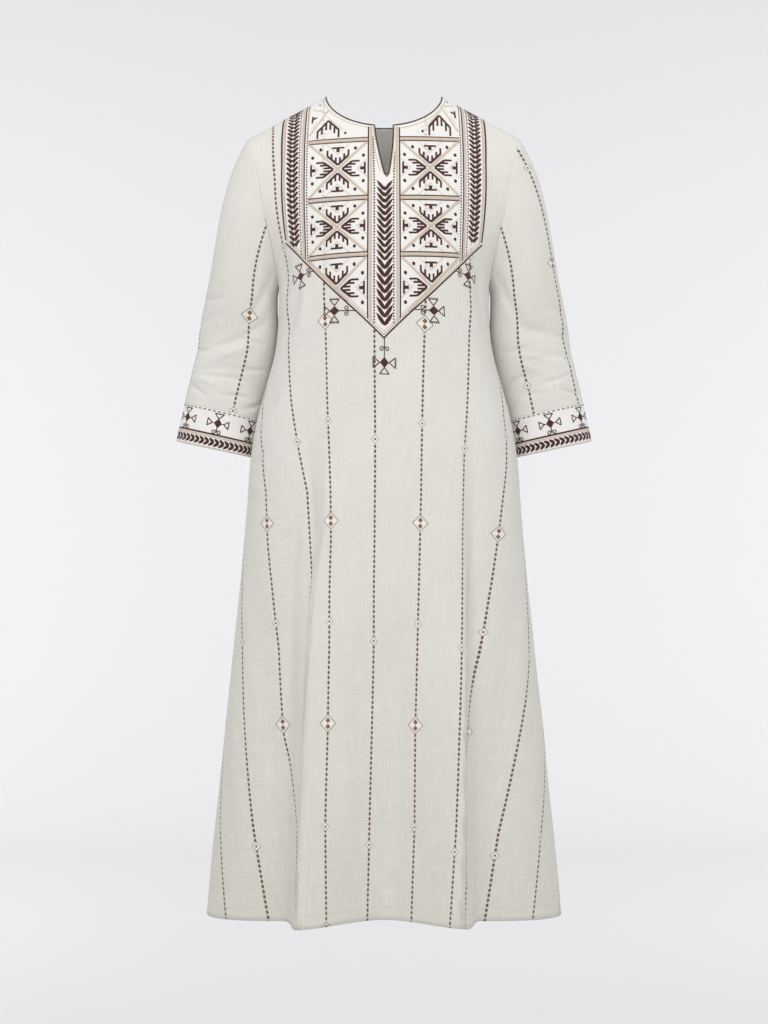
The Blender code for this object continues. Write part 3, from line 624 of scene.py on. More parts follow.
def weave_height(wire, across, down):
    """Plain weave: threads over and under each other, with slubs standing up from it, on cloth that
    is softly crumpled all over."""
    warp = (across * (2 * np.pi / WARP_PITCH)).wave()
    weft = (down * (2 * np.pi / WEFT_PITCH)).wave()
    slub = noise(wire, across, down, 900.0, 26.0, 1.0) + noise(wire, across, down, 30.0, 900.0, 1.0, 3.0)
    crumple = noise(wire, across, down, 34.0, 24.0, 4.0, 7.0)
    return warp * weft * 0.25 + slub + crumple * CRUMPLE_SHARE


def striped(stripe_place, diamond_place, odd_line, ground=None, spacing=STRIPE_SPACING):
    """The striped cloth's colour as a function of the flat map, paler where a ground covers it."""
    def colour(wire, across, down):
        brown, lozenges, grey, white = stripes(wire, across, down, stripe_place, diamond_place, odd_line,
                                               spacing)
        plain = slub_colour(wire, across, down)
        figured = (white * 0.75).mixed(grey.mixed(plain, DIAMOND_GREY), DIAMOND_WHITE)
        shown = brown.mixed(figured, STRIPE_BROWN)
        shown = lozenges.mixed(shown, LOZENGE_BROWN)
        if ground is None:
            return shown
        return (ground(across, down) * 0.72).mixed(shown, GROUND_WHITE)
    return colour


# The bib's ground reaches from the shoulder seams to two lower corners and down to a V
BIB_HALF_WIDTH = 0.1502
BIB_FLARE_START = 0.060
BIB_FLARES = (0.222, 0.300)
BIB_TIP = 0.3640
BIB_SLOPE = 1.005
BIB_LEVEL = DROOP[1]


def bib_ground(across, down):
    """1 inside the bib's outline: between its sides and above the two lines that meet at its tip."""
    beyond = down - BIB_FLARE_START
    flare = 1.0 + (beyond * BIB_FLARES[0]).least(beyond * BIB_FLARES[1])
    side = (abs(across) / flare).under(BIB_HALF_WIDTH, 0.0004)
    edge = (down + across * BIB_LEVEL + abs(across) * BIB_SLOPE).under(BIB_TIP, 0.0005)
    return side * edge


front_material = finish_material("striped_cloth_front", 0.88, 0.25,
                                 striped(BODY_STRIPE_PLACE, BODY_DIAMOND_PLACE, 1, bib_ground),
                                 weave_height, WEAVE_BUMP)
front = Panel(-1, FRONT_CREASES)
front_piece = sheet_mesh("front_cloth", [(half.points, half.across, half.down, side > 0)
                                         for side, half in front.halves.items()],
                         front_material, CLOTH_THICKNESS)
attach(front_piece, "root")
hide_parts("front")

# The back: one plain full-length A-line panel of the same striped cloth, with a higher round neck.
# It hangs in three wide folds and is a little longer than the front.
BACK_CREASES = (
    (-0.1300, 0.330, -14, 0.050, 0.0090, 0.0030, -0.4),
    (0.1250, 0.325, 15, 0.055, 0.0090, 0.0032, 0.4),
    (-0.1000, 0.400, -10, 0.060, 0.0120, 0.0020, -0.3),
    (0.0900, 0.420, 8, 0.070, 0.0120, 0.0018, 0.3),
    (-0.0300, 0.470, 4, 0.090, 0.0150, 0.0016, 0.0),
    (0.0350, 0.610, -3, 0.120, 0.0150, 0.0018, 0.0),
    (-0.1500, 0.130, 20, 0.050, 0.0090, 0.0020, 0.0),
    (0.1520, 0.135, -18, 0.045, 0.0090, 0.0022, 0.0),
    (-0.0800, 0.860, 3, 0.180, 0.0150, 0.0026, 0.0),
    (0.0820, 0.900, -3, 0.170, 0.0150, 0.0026, 0.0),
    (-0.1900, 0.880, -7, 0.160, 0.0150, 0.0024, 0.0),
    (0.1950, 0.930, 8, 0.150, 0.0150, 0.0026, 0.0),
    (-0.0300, 1.040, -2, 0.110, 0.0120, -0.0016, 0.0),
    (0.1180, 1.060, 4, 0.090, 0.0110, -0.0016, 0.0),
)
BACK_DIAMOND_PLACE = 0.3600
back_material = finish_material("striped_cloth_back", 0.88, 0.25,
                                striped(BODY_STRIPE_PLACE, BACK_DIAMOND_PLACE, 1), weave_height, WEAVE_BUMP)
back = Panel(1, BACK_CREASES)
back_piece = sheet_mesh("back_cloth", [(half.points, half.across, half.down, side < 0)
                                       for side, half in back.halves.items()],
                        back_material, CLOTH_THICKNESS)
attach(back_piece, "root")
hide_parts("back")

# The sleeves: set-in and three-quarter long, each one piece seamed under the arm. A cap leaves the
# armhole outwards, and the tube narrows and leans outwards down to the cuff band, creased at the
# elbow.
SLEEVE_COLUMNS = ("inner_reach", "inner_height", "outer_reach", "outer_height", "back", "half_depth")
SLEEVE = np.array([
    (0.1572, 0.3010, 0.2600, 0.2770, 0.012, 0.047),
    (0.1577, 0.3630, 0.2735, 0.3380, 0.024, 0.043),
    (0.1722, 0.4300, 0.2870, 0.4050, 0.033, 0.041),
    (0.1842, 0.4745, 0.2970, 0.4490, 0.036, 0.040),
    (0.1942, 0.5300, 0.3095, 0.5055, 0.038, 0.040),
])
CUFF_RING = 3
CAP_PUFF = 0.30
CAP_PUFF_LOW = 0.06
CAP_RISE = 0.35
ARM_LINE_STATION = 0.3
CAP_ROWS = 30
SLEEVE_ROWS = 110
SLEEVE_END_FREE = 0.012
SLEEVE_SEAM_FREE = 0.010

# Hollows at the elbow: station, turn round the sleeve, half height, half turn, slant and depth
ELBOW_FOLDS = (
    (1.15, 0.9, 0.30, 1.3, -0.35, 0.0035),
    (1.95, 2.0, 0.28, 1.2, 0.30, 0.0030),
    (1.50, -1.6, 0.32, 1.4, 0.25, 0.0030),
)
SLEEVE_DOWN_START = 0.290

# Creases on each sleeve: across from its outer edge, positive towards the front, and distance down
SLEEVE_CREASES = {
    -1: ((0.0600, 0.372, 62, 0.030, 0.0050, 0.0032, 0.3), (0.0700, 0.384, 60, 0.026, 0.0050, -0.0022, 0.3),
         (0.0300, 0.340, 70, 0.028, 0.0060, 0.0022, 0.0), (0.0950, 0.350, 50, 0.030, 0.0060, 0.0026, 0.2),
         (0.0550, 0.410, 74, 0.030, 0.0055, 0.0020, 0.0), (0.1080, 0.300, 25, 0.050, 0.0070, 0.0028, 0.2),
         (-0.0700, 0.370, -60, 0.032, 0.0060, 0.0024, 0.0), (-0.0450, 0.330, -66, 0.026, 0.0060, 0.0020, 0.0),
         (0.0350, 0.200, 12, 0.050, 0.0090, 0.0016, 0.0), (-0.0400, 0.180, -10, 0.050, 0.0090, 0.0016, 0.0),
        (0.0990, 0.359, -88, 0.018, 0.0036, 0.0024, 0.2), (0.0220, 0.387, -86, 0.016, 0.0034, 0.0022, 0.0),
        (0.0620, 0.421, 86, 0.030, 0.0036, 0.0026, 0.1), (0.0310, 0.445, -70, 0.020, 0.0038, 0.0028, 0.2),
        (0.0930, 0.444, 84, 0.024, 0.0036, 0.0024, 0.0), (0.1280, 0.452, 64, 0.020, 0.0042, 0.0032, 0.0),
        (0.0480, 0.432, -84, 0.018, 0.0034, -0.0016, 0.0), (0.1120, 0.400, 78, 0.022, 0.0038, 0.0028, 0.1),
        (0.0280, 0.310, 80, 0.020, 0.0042, 0.0022, 0.0), (-0.0500, 0.430, -80, 0.028, 0.0038, 0.0026, 0.1)),
    1: ((0.0700, 0.352, 66, 0.028, 0.0060, 0.0026, 0.3), (0.0480, 0.392, 72, 0.030, 0.0060, 0.0024, 0.0),
        (0.0850, 0.405, 58, 0.026, 0.0055, -0.0016, 0.2), (0.0300, 0.330, 60, 0.026, 0.0060, 0.0016, 0.0),
        (0.1050, 0.305, 24, 0.050, 0.0070, 0.0028, 0.2), (0.0950, 0.440, 76, 0.024, 0.0050, 0.0016, 0.0),
        (-0.0650, 0.350, -62, 0.030, 0.0060, 0.0022, 0.0), (-0.0500, 0.400, -68, 0.028, 0.0060, 0.0022, 0.0),
        (0.0400, 0.190, 10, 0.050, 0.0090, 0.0014, 0.0), (-0.0350, 0.210, -12, 0.050, 0.0090, 0.0016, 0.0),
        (0.1020, 0.372, -86, 0.018, 0.0036, 0.0024, 0.2), (0.0260, 0.366, 84, 0.017, 0.0034, 0.0022, 0.0),
        (0.0580, 0.428, -82, 0.026, 0.0036, 0.0024, 0.1), (0.0330, 0.450, 72, 0.020, 0.0038, 0.0026, 0.2),
        (0.1240, 0.446, -66, 0.020, 0.0042, 0.0032, 0.0), (0.0760, 0.386, 80, 0.020, 0.0034, -0.0016, 0.0),
        (0.1150, 0.415, -76, 0.022, 0.0038, 0.0026, 0.1), (-0.0520, 0.438, 80, 0.026, 0.0038, 0.0026, 0.1)),
}


def sleeve_ring(station, turn, side):
    """Points round the sleeve at a station: an ellipse between the inner and outer edges, with
    x and height = middle + half * cosine of the turn, and y = back - half depth * sine of it."""
    at = {name: through(column, station) for name, column in zip(SLEEVE_COLUMNS, SLEEVE.T)}
    half_reach = (at["outer_reach"] - at["inner_reach"]) / 2
    half_fall = (at["outer_height"] - at["inner_height"]) / 2
    x = (at["outer_reach"] + at["inner_reach"]) / 2 + half_reach * np.cos(turn)
    height = (at["outer_height"] + at["inner_height"]) / 2 + half_fall * np.cos(turn)
    return np.stack([side * x, at["back"] - at["half_depth"] * np.sin(turn), -height], axis=-1)


def round_normals(grid, sign):
    """Normals of a grid whose last column comes back to its first."""
    return grid_normals(np.concatenate([grid[:, -2:-1], grid, grid[:, 1:2]], axis=1), sign)[:, 1:-1]


def armhole(side):
    """The armhole from the underarm up the back, over the shoulder and down the front, and the turn
    round the sleeve that each point has, in step with the length along it from the shoulder."""
    edges, turns = [], []
    for panel, towards in ((back, -1), (front, 1)):
        underarm = int(np.searchsorted(panel.rows, UNDERARM_ROW))
        edge = panel.halves[side].points[:underarm + 1, -1]
        arc = np.append(0.0, np.cumsum(np.linalg.norm(np.diff(edge, axis=0), axis=1)))
        edges.append(edge)
        turns.append(towards * np.pi * arc / arc[-1])
    return (np.concatenate([edges[0][::-1], edges[1][1:]]), np.concatenate([turns[0][::-1], turns[1][1:]]))


def sleeve_tube(side):
    """The sleeve's points, from a cap that is a cubic from the armhole to the first ring, then rings
    down to the cuff band, pressed in by the elbow folds."""
    edge, turn = armhole(side)
    first = sleeve_ring(np.zeros_like(turn), turn, side)
    chord = first - edge
    length = np.linalg.norm(chord, axis=-1, keepdims=True)
    puff = (CAP_PUFF_LOW + (CAP_PUFF - CAP_PUFF_LOW) * (0.5 + 0.5 * np.cos(turn)))[:, None]
    leave = chord + puff * length * np.array([side, 0.0, CAP_RISE])
    arm = sleeve_ring(np.full_like(turn, ARM_LINE_STATION), turn, side) - first
    arrive = length * arm / np.linalg.norm(arm, axis=-1, keepdims=True)
    s = np.linspace(0.0, 1.0, CAP_ROWS)[:-1, None, None]
    cap = (edge * (1 + 2 * s) * (1 - s) ** 2 + leave * s * (1 - s) ** 2
           + first * s * s * (3 - 2 * s) + arrive * s * s * (s - 1))
    station, around = np.meshgrid(np.linspace(0.0, CUFF_RING, SLEEVE_ROWS), turn, indexing="ij")
    rings = sleeve_ring(station, around, side)
    dent = np.zeros_like(station)
    for fold_station, angle, half_height, half_turn, slant, depth in ELBOW_FOLDS:
        off_turn = (around - angle + np.pi) % (2 * np.pi) - np.pi
        off_station = station - fold_station - slant * off_turn
        dent += depth * np.exp(-(off_station / half_height) ** 2 - (off_turn / half_turn) ** 2)
    centre = rings[:, :-1].mean(axis=1, keepdims=True)
    away = (rings - centre) / np.linalg.norm(rings - centre, axis=-1, keepdims=True)
    return np.concatenate([cap, rings - away * dent[..., None]]), turn


def tube_sheet(points, turn, side, creases, ring, down_start):
    """A tube as a sheet: across is the arc from its outer edge, down the length from a ring, and
    creases press it in away from its two ends and its seam."""
    middle = int(np.argmin(np.abs(turn)))
    arc = np.cumsum(np.linalg.norm(np.diff(points, axis=1), axis=-1), axis=1)
    arc = np.concatenate([np.zeros((len(points), 1)), arc], axis=1)
    across = arc - arc[:, middle:middle + 1]
    across[:ring] = across[ring]
    length = np.cumsum(np.linalg.norm(np.diff(points, axis=0), axis=-1), axis=0)
    length = np.concatenate([np.zeros((1, points.shape[1])), length])
    down = length - length[ring] + down_start
    ends = np.minimum(length, length[-1] - length) / SLEEVE_END_FREE
    pressed = crease_offsets(across, down, creases) * np.clip(ends, 0.0, 1.0)
    pressed = pressed * np.clip((across[:, -1:] - across) / SLEEVE_SEAM_FREE, 0.0, 1.0)
    pressed = pressed * np.clip((across - across[:, :1]) / SLEEVE_SEAM_FREE, 0.0, 1.0)
    points = points - round_normals(points, -side) * pressed[..., None]
    return Sheet(points, round_normals(points, -side), across, down)


SLEEVE_STRIPE_PLACE = {-1: 0.0075, 1: 0.0240}
SLEEVE_STRIPE_SPACING = {-1: 0.0880, 1: STRIPE_SPACING}
SLEEVE_DIAMOND_PLACE = {-1: 0.3230, 1: 0.2560}
SLEEVE_ODD_LINE = {-1: 1, 1: 0}
sleeves = {}
for side, label in ((-1, "left"), (1, "right")):
    tube, turn = sleeve_tube(side)
    sleeves[side] = tube_sheet(tube, turn, side, SLEEVE_CREASES[side], CAP_ROWS - 1, SLEEVE_DOWN_START)
    sleeve_material = finish_material("striped_cloth_sleeve_" + label, 0.88, 0.25,
                                      striped(SLEEVE_STRIPE_PLACE[side], SLEEVE_DIAMOND_PLACE[side],
                                              SLEEVE_ODD_LINE[side], spacing=SLEEVE_STRIPE_SPACING[side]),
                                      weave_height, WEAVE_BUMP)
    sheet = sleeves[side]
    sleeve_piece = sheet_mesh("sleeve_cloth_" + label, [(sheet.points, sheet.across, sheet.down, side < 0)],
                              sleeve_material, CLOTH_THICKNESS)
    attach(sleeve_piece, "root")
    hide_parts("sleeve_" + label)

# The cuff bands: straight strips of near-white cloth sewn on round the sleeve ends, doubled and
# folded under at the edge, as the ground for embroidery.
CUFF_ROWS = 24
CUFF_THICKNESS = 0.0018


def ground_colour(wire, across, down):
    """Near-white cotton ground: cloudy, with its threads showing a little both ways."""
    cloud = noise(wire, across, down, 14.0, 14.0, 3.0)
    threads = noise(wire, across, down, 700.0, 60.0, 1.0) + noise(wire, across, down, 60.0, 700.0, 1.0, 3.0)
    shade = cloud * 0.6 + threads.node("MapRange", (), {0: threads, 1: 0.8, 2: 1.3, 3: 0.0, 4: 0.4})
    return shade.mixed(GROUND_WHITE, (0.795, 0.775, 0.735, 1.0))


cuff_material = finish_material("cuff_cloth", 0.85, 0.25, ground_colour, weave_height, 0.0003)
cuffs = {}
for side, label in ((-1, "left"), (1, "right")):
    turn = armhole(side)[1]
    station, around = np.meshgrid(np.linspace(CUFF_RING, len(SLEEVE) - 1, CUFF_ROWS), turn, indexing="ij")
    cuffs[side] = tube_sheet(sleeve_ring(station, around, side), turn, side, (), 0, 0.0)
    sheet = cuffs[side]
    cuff_piece = sheet_mesh("cuff_cloth_" + label, [(sheet.points, sheet.across, sheet.down, side < 0)],
                            cuff_material, CUFF_THICKNESS)
    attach(cuff_piece, "root")
    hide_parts("cuff_" + label)

# The neck piping: a thin maroon cord of bias cloth, sewn into the edge all round the neck and down
# both sides of the slit.
PIPING_RADIUS = 0.0010
PIPING_SIDES = 10
PIPING_GAP = 0.0002
PIPING_FOOT_DROP = 0.0012
PIPING_CORNER_LEAST = 0.4
PIPING_TWIST_PITCH = 0.0016
PIPING_TWIST_SLANT = 900.0
PIPING_BUMP = 0.0001
MAROON = (0.085, 0.026, 0.026, 1.0)
# Lighter maroon: painted highlight on the raised threads of the cord's twist
MAROON_RIDGE_HIGHLIGHT = (0.150, 0.050, 0.046, 1.0)


def neck_edge():
    """The cloth's edge all round the neck with its normals: down the left of the front and the slit,
    up its right side, then round the back, and the place in it where the slit's foot comes."""
    foot = int(np.searchsorted(front.rows, SLIT_FOOT_ROW)) + 1
    neck = int(np.searchsorted(back.rows, NECK_ROW))
    left, right = front.halves[-1], front.halves[1]
    behind_right, behind_left = back.halves[1], back.halves[-1]
    stretches = ((left, slice(0, foot)), (right, slice(foot - 1, None, -1)),
                 (behind_right, slice(1, neck + 1)), (behind_left, slice(neck - 1, 0, -1)))
    return (np.concatenate([sheet.points[part, 0] for sheet, part in stretches]),
            np.concatenate([sheet.normals[part, 0] for sheet, part in stretches]), foot)


def beside_edge(edge, normal, distance):
    """A line that follows the neck's edge, moved a distance into the opening."""
    step = np.roll(edge, -1, axis=0) - edge
    into = np.cross(normal + np.roll(normal, -1, axis=0), step)
    into = into / np.linalg.norm(into, axis=1, keepdims=True)
    before = np.roll(into, 1, axis=0)
    corner = np.maximum(1.0 + np.sum(before * into, axis=1, keepdims=True), PIPING_CORNER_LEAST)
    return edge + distance * (before + into) / corner


def closed_cord(name, path, normal, radius, sides, material):
    """A round cord along a closed path: circles across it, joined from each point to the next."""
    along = np.roll(path, -1, axis=0) - np.roll(path, 1, axis=0)
    sideways = np.cross(normal, along)
    sideways = (sideways / np.linalg.norm(sideways, axis=1, keepdims=True))[:, None]
    upward = np.cross(along, sideways[:, 0])
    upward = (upward / np.linalg.norm(upward, axis=1, keepdims=True))[:, None]
    spin = (np.linspace(0.0, 2 * np.pi, sides + 1))[None, :, None]
    tube = path[:, None] + radius * (np.cos(spin) * sideways + np.sin(spin) * upward)
    tube = np.concatenate([tube, tube[:1]])
    length = np.append(0.0, np.cumsum(np.linalg.norm(np.diff(tube[:, 0], axis=0), axis=1)))
    around = np.broadcast_to(radius * spin[0, :, 0], (len(tube), sides + 1))
    down = np.broadcast_to(length[:, None], around.shape)
    return sheet_mesh(name, [(tube, around, down, False)], material, 0.0)


def piping_height(wire, across, down):
    """The cord's threads, slanting round it: the sine of 2 * pi * length / pitch + slant * arc."""
    return (down * (2 * np.pi / PIPING_TWIST_PITCH) + across * PIPING_TWIST_SLANT).wave()


def piping_colour(wire, across, down):
    """Maroon cotton, with painted highlight on the raised threads of its twist and painted shade between
    them.
    """
    return (piping_height(wire, across, down) * 0.25 + 0.3).mixed(MAROON, MAROON_RIDGE_HIGHLIGHT)


piping_material = finish_material("maroon_piping_cloth", 0.8, 0.15, piping_colour, piping_height, PIPING_BUMP)
edge, edge_normal, foot = neck_edge()
path = beside_edge(edge, edge_normal, PIPING_RADIUS + PIPING_GAP)
low = path[foot - 1:foot + 1].mean(axis=0) - np.array([0.0, 0.0, PIPING_FOOT_DROP])
path = np.insert(path, foot, low, axis=0)
path_normal = np.insert(edge_normal, foot, edge_normal[foot - 1:foot + 1].mean(axis=0), axis=0)
piping_piece = closed_cord("piping", path, path_normal, PIPING_RADIUS, PIPING_SIDES, piping_material)
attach(piping_piece, "root")
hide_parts("neck_piping")

# The bib's embroidery: maroon and beige satin stitch worked through the front's own cloth. Straight
# and slanting bars, leaves, dots and outlines are each a low crowned ribbon of threads.
THREAD_LIFT = 0.00045
FULL_LIFT_HALF = 0.0008
RIBBON_ACROSS = np.array((-1.0, -0.6, 0.0, 0.6, 1.0))
RIBBON_LIFT = np.array((-0.3, 0.75, 1.0, 0.75, -0.3))
CHART = 0.001
THREAD_MAROON = (0.058, 0.013, 0.013, 1.0)
THREAD_MAROON_WORN = (0.098, 0.030, 0.028, 1.0)
THREAD_BEIGE = (0.640, 0.520, 0.400, 1.0)
THREAD_BEIGE_PALE = (0.740, 0.650, 0.530, 1.0)


def bar(start, end, start_half, end_half=None, points=7):
    """A straight bar of stitches from one place to another, in millimetres of the chart, with its
    half width going evenly from the start's to the end's."""
    t = np.linspace(0.0, 1.0, points)
    line = np.outer(1 - t, start) + np.outer(t, end)
    return line, start_half + ((start_half if end_half is None else end_half) - start_half) * t


def leaf(start, end, half, points=11):
    """A bar that swells quickly from a pointed start and narrows only close to its end: its half width
    is half * least(1, t / 0.4) ** 0.8 * least(1, (1 - t) / 0.22) ** 0.7."""
    t = np.linspace(0.02, 0.985, points)
    width = np.minimum(1.0, t / 0.4) ** 0.8 * np.minimum(1.0, (1 - t) / 0.22) ** 0.7
    return bar(start, end, half, points=points)[0], half * width


def lozenge(centre, half_long, half_wide):
    """A filled diamond, as one bar whose half width is half_wide * (1 - distance / half_long)."""
    t = np.linspace(-1.0, 1.0, 9)
    line = np.array(centre) + np.outer(t, (0.0, half_long))
    return line, half_wide * np.maximum(1.0 - np.abs(t), 0.04)


def dot(centre, radius):
    """A round dot, as a short bar whose half width is radius * sqrt(1 - (distance / radius) ** 2)."""
    t = np.array((-1.0, -0.75, -0.3, 0.3, 0.75, 1.0))
    line = np.array(centre) + np.outer(t, (0.0, radius))
    return line, radius * np.sqrt(np.maximum(1.0 - t * t, 0.03))


def outline(corners, half, points=5):
    """Bars along the sides of a closed figure."""
    return [bar(a, b, half, points=points) for a, b in zip(corners, corners[1:] + corners[:1])]


def curl(start, side, size, half):
    """A scroll: a spiral of one and a quarter turns whose radius shrinks as it goes round."""
    t = np.linspace(0.0, 1.0, 16)
    radius = size * (1.0 - 0.72 * t)
    turn = 2.4 * np.pi * t
    line = np.stack([side * (size - radius * np.cos(turn)), -radius * np.sin(turn)], axis=-1)
    return np.array(start) + line, np.full_like(t, half)


def comb(apex, forward, spread, rise, tine, half, count=(-1.0, -0.6, -0.2, 0.2, 0.6, 1.0)):
    """A comb: two arms from an apex and tines that start on them, all running forward. The arms end
    spread to each side and rise forward of the apex."""
    forward = np.array(forward, float)
    sideways = np.array((-forward[1], forward[0]))
    arms = [bar(apex, apex + sign * spread * sideways + rise * forward, half) for sign in (-1, 1)]
    tines = []
    for share in count:
        root = apex + share * spread * sideways + abs(share) * rise * forward
        tines.append(bar(root, root + tine * forward, half * 0.85, points=5))
    return arms + tines


def moved(strokes, matrix, shift):
    """Strokes turned or stretched by a matrix and then shifted."""
    return [(line @ np.array(matrix, float).T + np.array(shift, float), half) for line, half in strokes]


def square_motif():
    """One square of the bib, 84.5 mm wide and tall about its centre: four combs that point at the
    centre, four T shapes and eight dots. Gives its maroon strokes, then its beige ones: a cross from
    corner to corner and thin chevrons between the combs and the T shapes."""
    maroon, beige = [], []
    for turn in range(4):
        c, s = np.cos(turn * np.pi / 2), np.sin(turn * np.pi / 2)
        spin = ((c, -s), (s, c))
        along_side = turn % 2 == 1
        spread, rise = (11.5, 14.1) if along_side else (15.2, 14.8)
        tine = 10.6 if along_side else 9.0
        far = 38.7 if along_side else 33.9
        arm = comb(np.array((0.0, -6.6)), (0.0, -1.0), spread, rise, tine, 1.95)
        bars = [bar((-8.8, -far), (8.8, -far), 1.6), bar((0.0, -far), (0.0, 6.6 - far), 2.8)]
        maroon += moved(arm + bars, spin, (0.0, 0.0))
        thin = [bar((0.0, 10.5 - far), (sign * (52.0 - far), -41.5), 0.55) for sign in (-1, 1)]
        beige += moved(thin, spin, (0.0, 0.0))
        beige += moved([bar((0.0, 0.0), (42.0, 42.0), 2.2, points=24)], spin, (0.0, 0.0))
    for x, y in ((36.6, 20.0), (25.0, 32.3)):
        maroon += [dot((sx * x, sy * y), 2.7) for sx in (-1, 1) for sy in (-1, 1)]
    return maroon, beige


BIB_TILT = {-1: 0.055, 1: 0.130}
BIB_TILT_START = 0.024
SQUARE_CENTRE = 65.8
SQUARE_HALF = 42.25
SQUARES = ((115.4, 42.3), (202.4, 38.2), (291.5, 44.3))
DIVIDERS = (69.7, 161.0, 243.9)
BORDER_LEAF_CENTRE = 132.5
BORDER_LEAF_PITCH = 7.7


def bib_place(line):
    """Flat places, in metres, of places on the bib's chart, which spreads outwards further down and
    whose rows droop to the centre."""
    a, b = line[..., 0] * CHART, line[..., 1] * CHART
    tilt = np.where(a < 0, BIB_TILT[-1], BIB_TILT[1])
    b = b - tilt * np.maximum(np.abs(a) - BIB_TILT_START, 0.0)
    beyond = b - BIB_LEVEL * a - BIB_FLARE_START
    u = a * (1.0 + np.minimum(beyond * BIB_FLARES[0], beyond * BIB_FLARES[1]))
    return np.stack([u, b - BIB_LEVEL * u], axis=-1)


def edge_place(line):
    """Flat places, in metres, of places charted along the bib's V edge."""
    u, b = line[..., 0] * CHART, line[..., 1] * CHART
    return np.stack([u, b - BIB_LEVEL * u], axis=-1)


def neck_line(side):
    """The front's inner edge on the flat cloth: distance down, and across at each."""
    half = front.halves[side]
    below = int(np.searchsorted(front.rows, SLIT_ROW))
    return half.down[:below, 0], np.abs(half.across[:below, 0])


NECK_LINES = {side: neck_line(side) for side in (-1, 1)}


def bib_room(flat_line):
    """How far inside the bib's outline each flat place is, in metres: the least of its distances
    from the neck's edge, the shoulder seam and the V edge."""
    u, v = flat_line[..., 0], flat_line[..., 1]
    room = np.full(u.shape, 1.0)
    for side in (-1, 1):
        down, across = NECK_LINES[side]
        half = front.halves[side]
        order = np.argsort(np.abs(half.across[0]))
        shoulder = np.interp(np.abs(u), np.abs(half.across[0])[order], half.down[0][order])
        points = np.stack([across, down], axis=-1)
        gap = np.abs(u)[..., None, None] * (1.0, 0.0) + v[..., None, None] * (0.0, 1.0) - points
        neck = np.min(np.hypot(gap[..., 0], gap[..., 1]), axis=-1)
        neck = np.where(np.abs(u) > np.interp(v, down, across), neck, -neck)
        neck = np.where(v > down[-1], 1.0, neck)
        own = (u < 0) if side < 0 else (u >= 0)
        room = np.where(own, np.minimum(np.minimum(neck, v - shoulder), room), room)
    edge = (BIB_TIP - (v + u * BIB_LEVEL) - np.abs(u) * BIB_SLOPE) / np.hypot(1.0, BIB_SLOPE)
    return np.minimum(room, edge)


def cut_to_bib(stroke, margin, placed=bib_place):
    """The longest run of a stroke that lies inside the bib by a margin in millimetres, or None."""
    line, half = stroke
    t = np.linspace(0.0, 1.0, len(line))
    fine = np.linspace(0.0, 1.0, 6 * len(line))
    places = np.stack([np.interp(fine, t, line[:, 0]), np.interp(fine, t, line[:, 1])], axis=-1)
    inside = bib_room(placed(places)) > margin * CHART
    if not inside.any():
        return None
    if inside.all():
        return stroke
    marks = np.flatnonzero(np.diff(np.concatenate([[0], inside.astype(int), [0]])))
    runs = marks.reshape(-1, 2)
    low, high = runs[np.argmax(runs[:, 1] - runs[:, 0])]
    if high - low < 4:
        return None
    kept = np.linspace(fine[low], fine[high - 1], len(line))
    return (np.stack([np.interp(kept, t, line[:, 0]), np.interp(kept, t, line[:, 1])], axis=-1),
            np.interp(kept, t, half))


def mirrored(strokes):
    """Strokes with their mirror images across the chart's centre line."""
    return strokes + [(line * (-1.0, 1.0), half) for line, half in strokes]


def bib_strokes():
    """The bib's maroon and beige strokes as charted, on the right half and mirrored to the left."""
    maroon, beige = [], []
    square_maroon, square_beige = square_motif()
    for centre, half_height in SQUARES:
        stretch = ((1.0, 0.0), (0.0, half_height / SQUARE_HALF))
        maroon += moved(square_maroon, stretch, (SQUARE_CENTRE, centre))
        beige += moved(square_beige, stretch, (SQUARE_CENTRE, centre))
    for level in DIVIDERS:
        beige.append(bar((22.5, level), (109.0, level), 2.3, points=40))
        maroon += [bar((22.5, level + off), (109.0, level + off), 1.0, points=40) for off in (-3.2, 3.2)]
    maroon += comb(np.array((81.0, 30.3)), (0.0, 1.0), 15.4, 19.2, 14.0, 1.95)
    maroon += [bar((104.3, 17.5), (105.0, 31.0), 1.5), bar((104.5, 23.5), (98.5, 20.5), 1.9)]
    maroon += [dot((55.8, 57.0), 2.2), dot((95.0, -8.0), 2.0)]
    beige += [bar((108.5, 56.0), (82.0, 10.0), 1.5, points=12), bar((104.0, 2.0), (84.0, 14.0), 1.3),
              bar((84.0, 22.0), (60.0, 50.0), 0.6), bar((106.0, 44.0), (98.0, 30.0), 0.6)]
    long_columns = ((148.7, 1.5, maroon), (144.8, 1.9, beige), (117.6, 1.9, beige), (114.6, 1.1, maroon),
                    (22.2, 1.2, maroon), (18.4, 2.1, beige))
    for place, half, strokes in long_columns:
        strokes.append(bar((place, -60.0), (place, 350.0), half, points=170))
    for place, start in ((121.9, -40.0), (110.9, -20.0)):
        maroon += [dot((place, b), 1.35) for b in np.arange(start, 260.0, 4.3)]
    for b in np.arange(62.0, 352.0, 4.3):
        maroon.append(dot((np.interp(b, (60.0, 150.0), (16.2, 13.4)), b), 1.4))
    for tip in np.arange(-40.0, 228.0, BORDER_LEAF_PITCH):
        maroon += [bar((BORDER_LEAF_CENTRE + sign * 8.2, tip - 7.4), (BORDER_LEAF_CENTRE + sign * 0.4, tip),
                       1.8, 3.3)
                   for sign in (-1, 1)]
    maroon, beige = mirrored(maroon), mirrored(beige)
    tips = np.concatenate([151.0 + 9.3 * np.arange(12), 254.3 + 11.4 * np.arange(1, 9)])
    for tip in tips:
        wide, rise = (2.7, 15.2) if tip < 255.0 else (3.2, 17.6)
        maroon += [leaf((1.0 + sign * 11.2, tip - rise), (1.0 - sign * 0.4, tip + 1.0), wide)
                   for sign in (-1, 1)]
    return maroon, beige


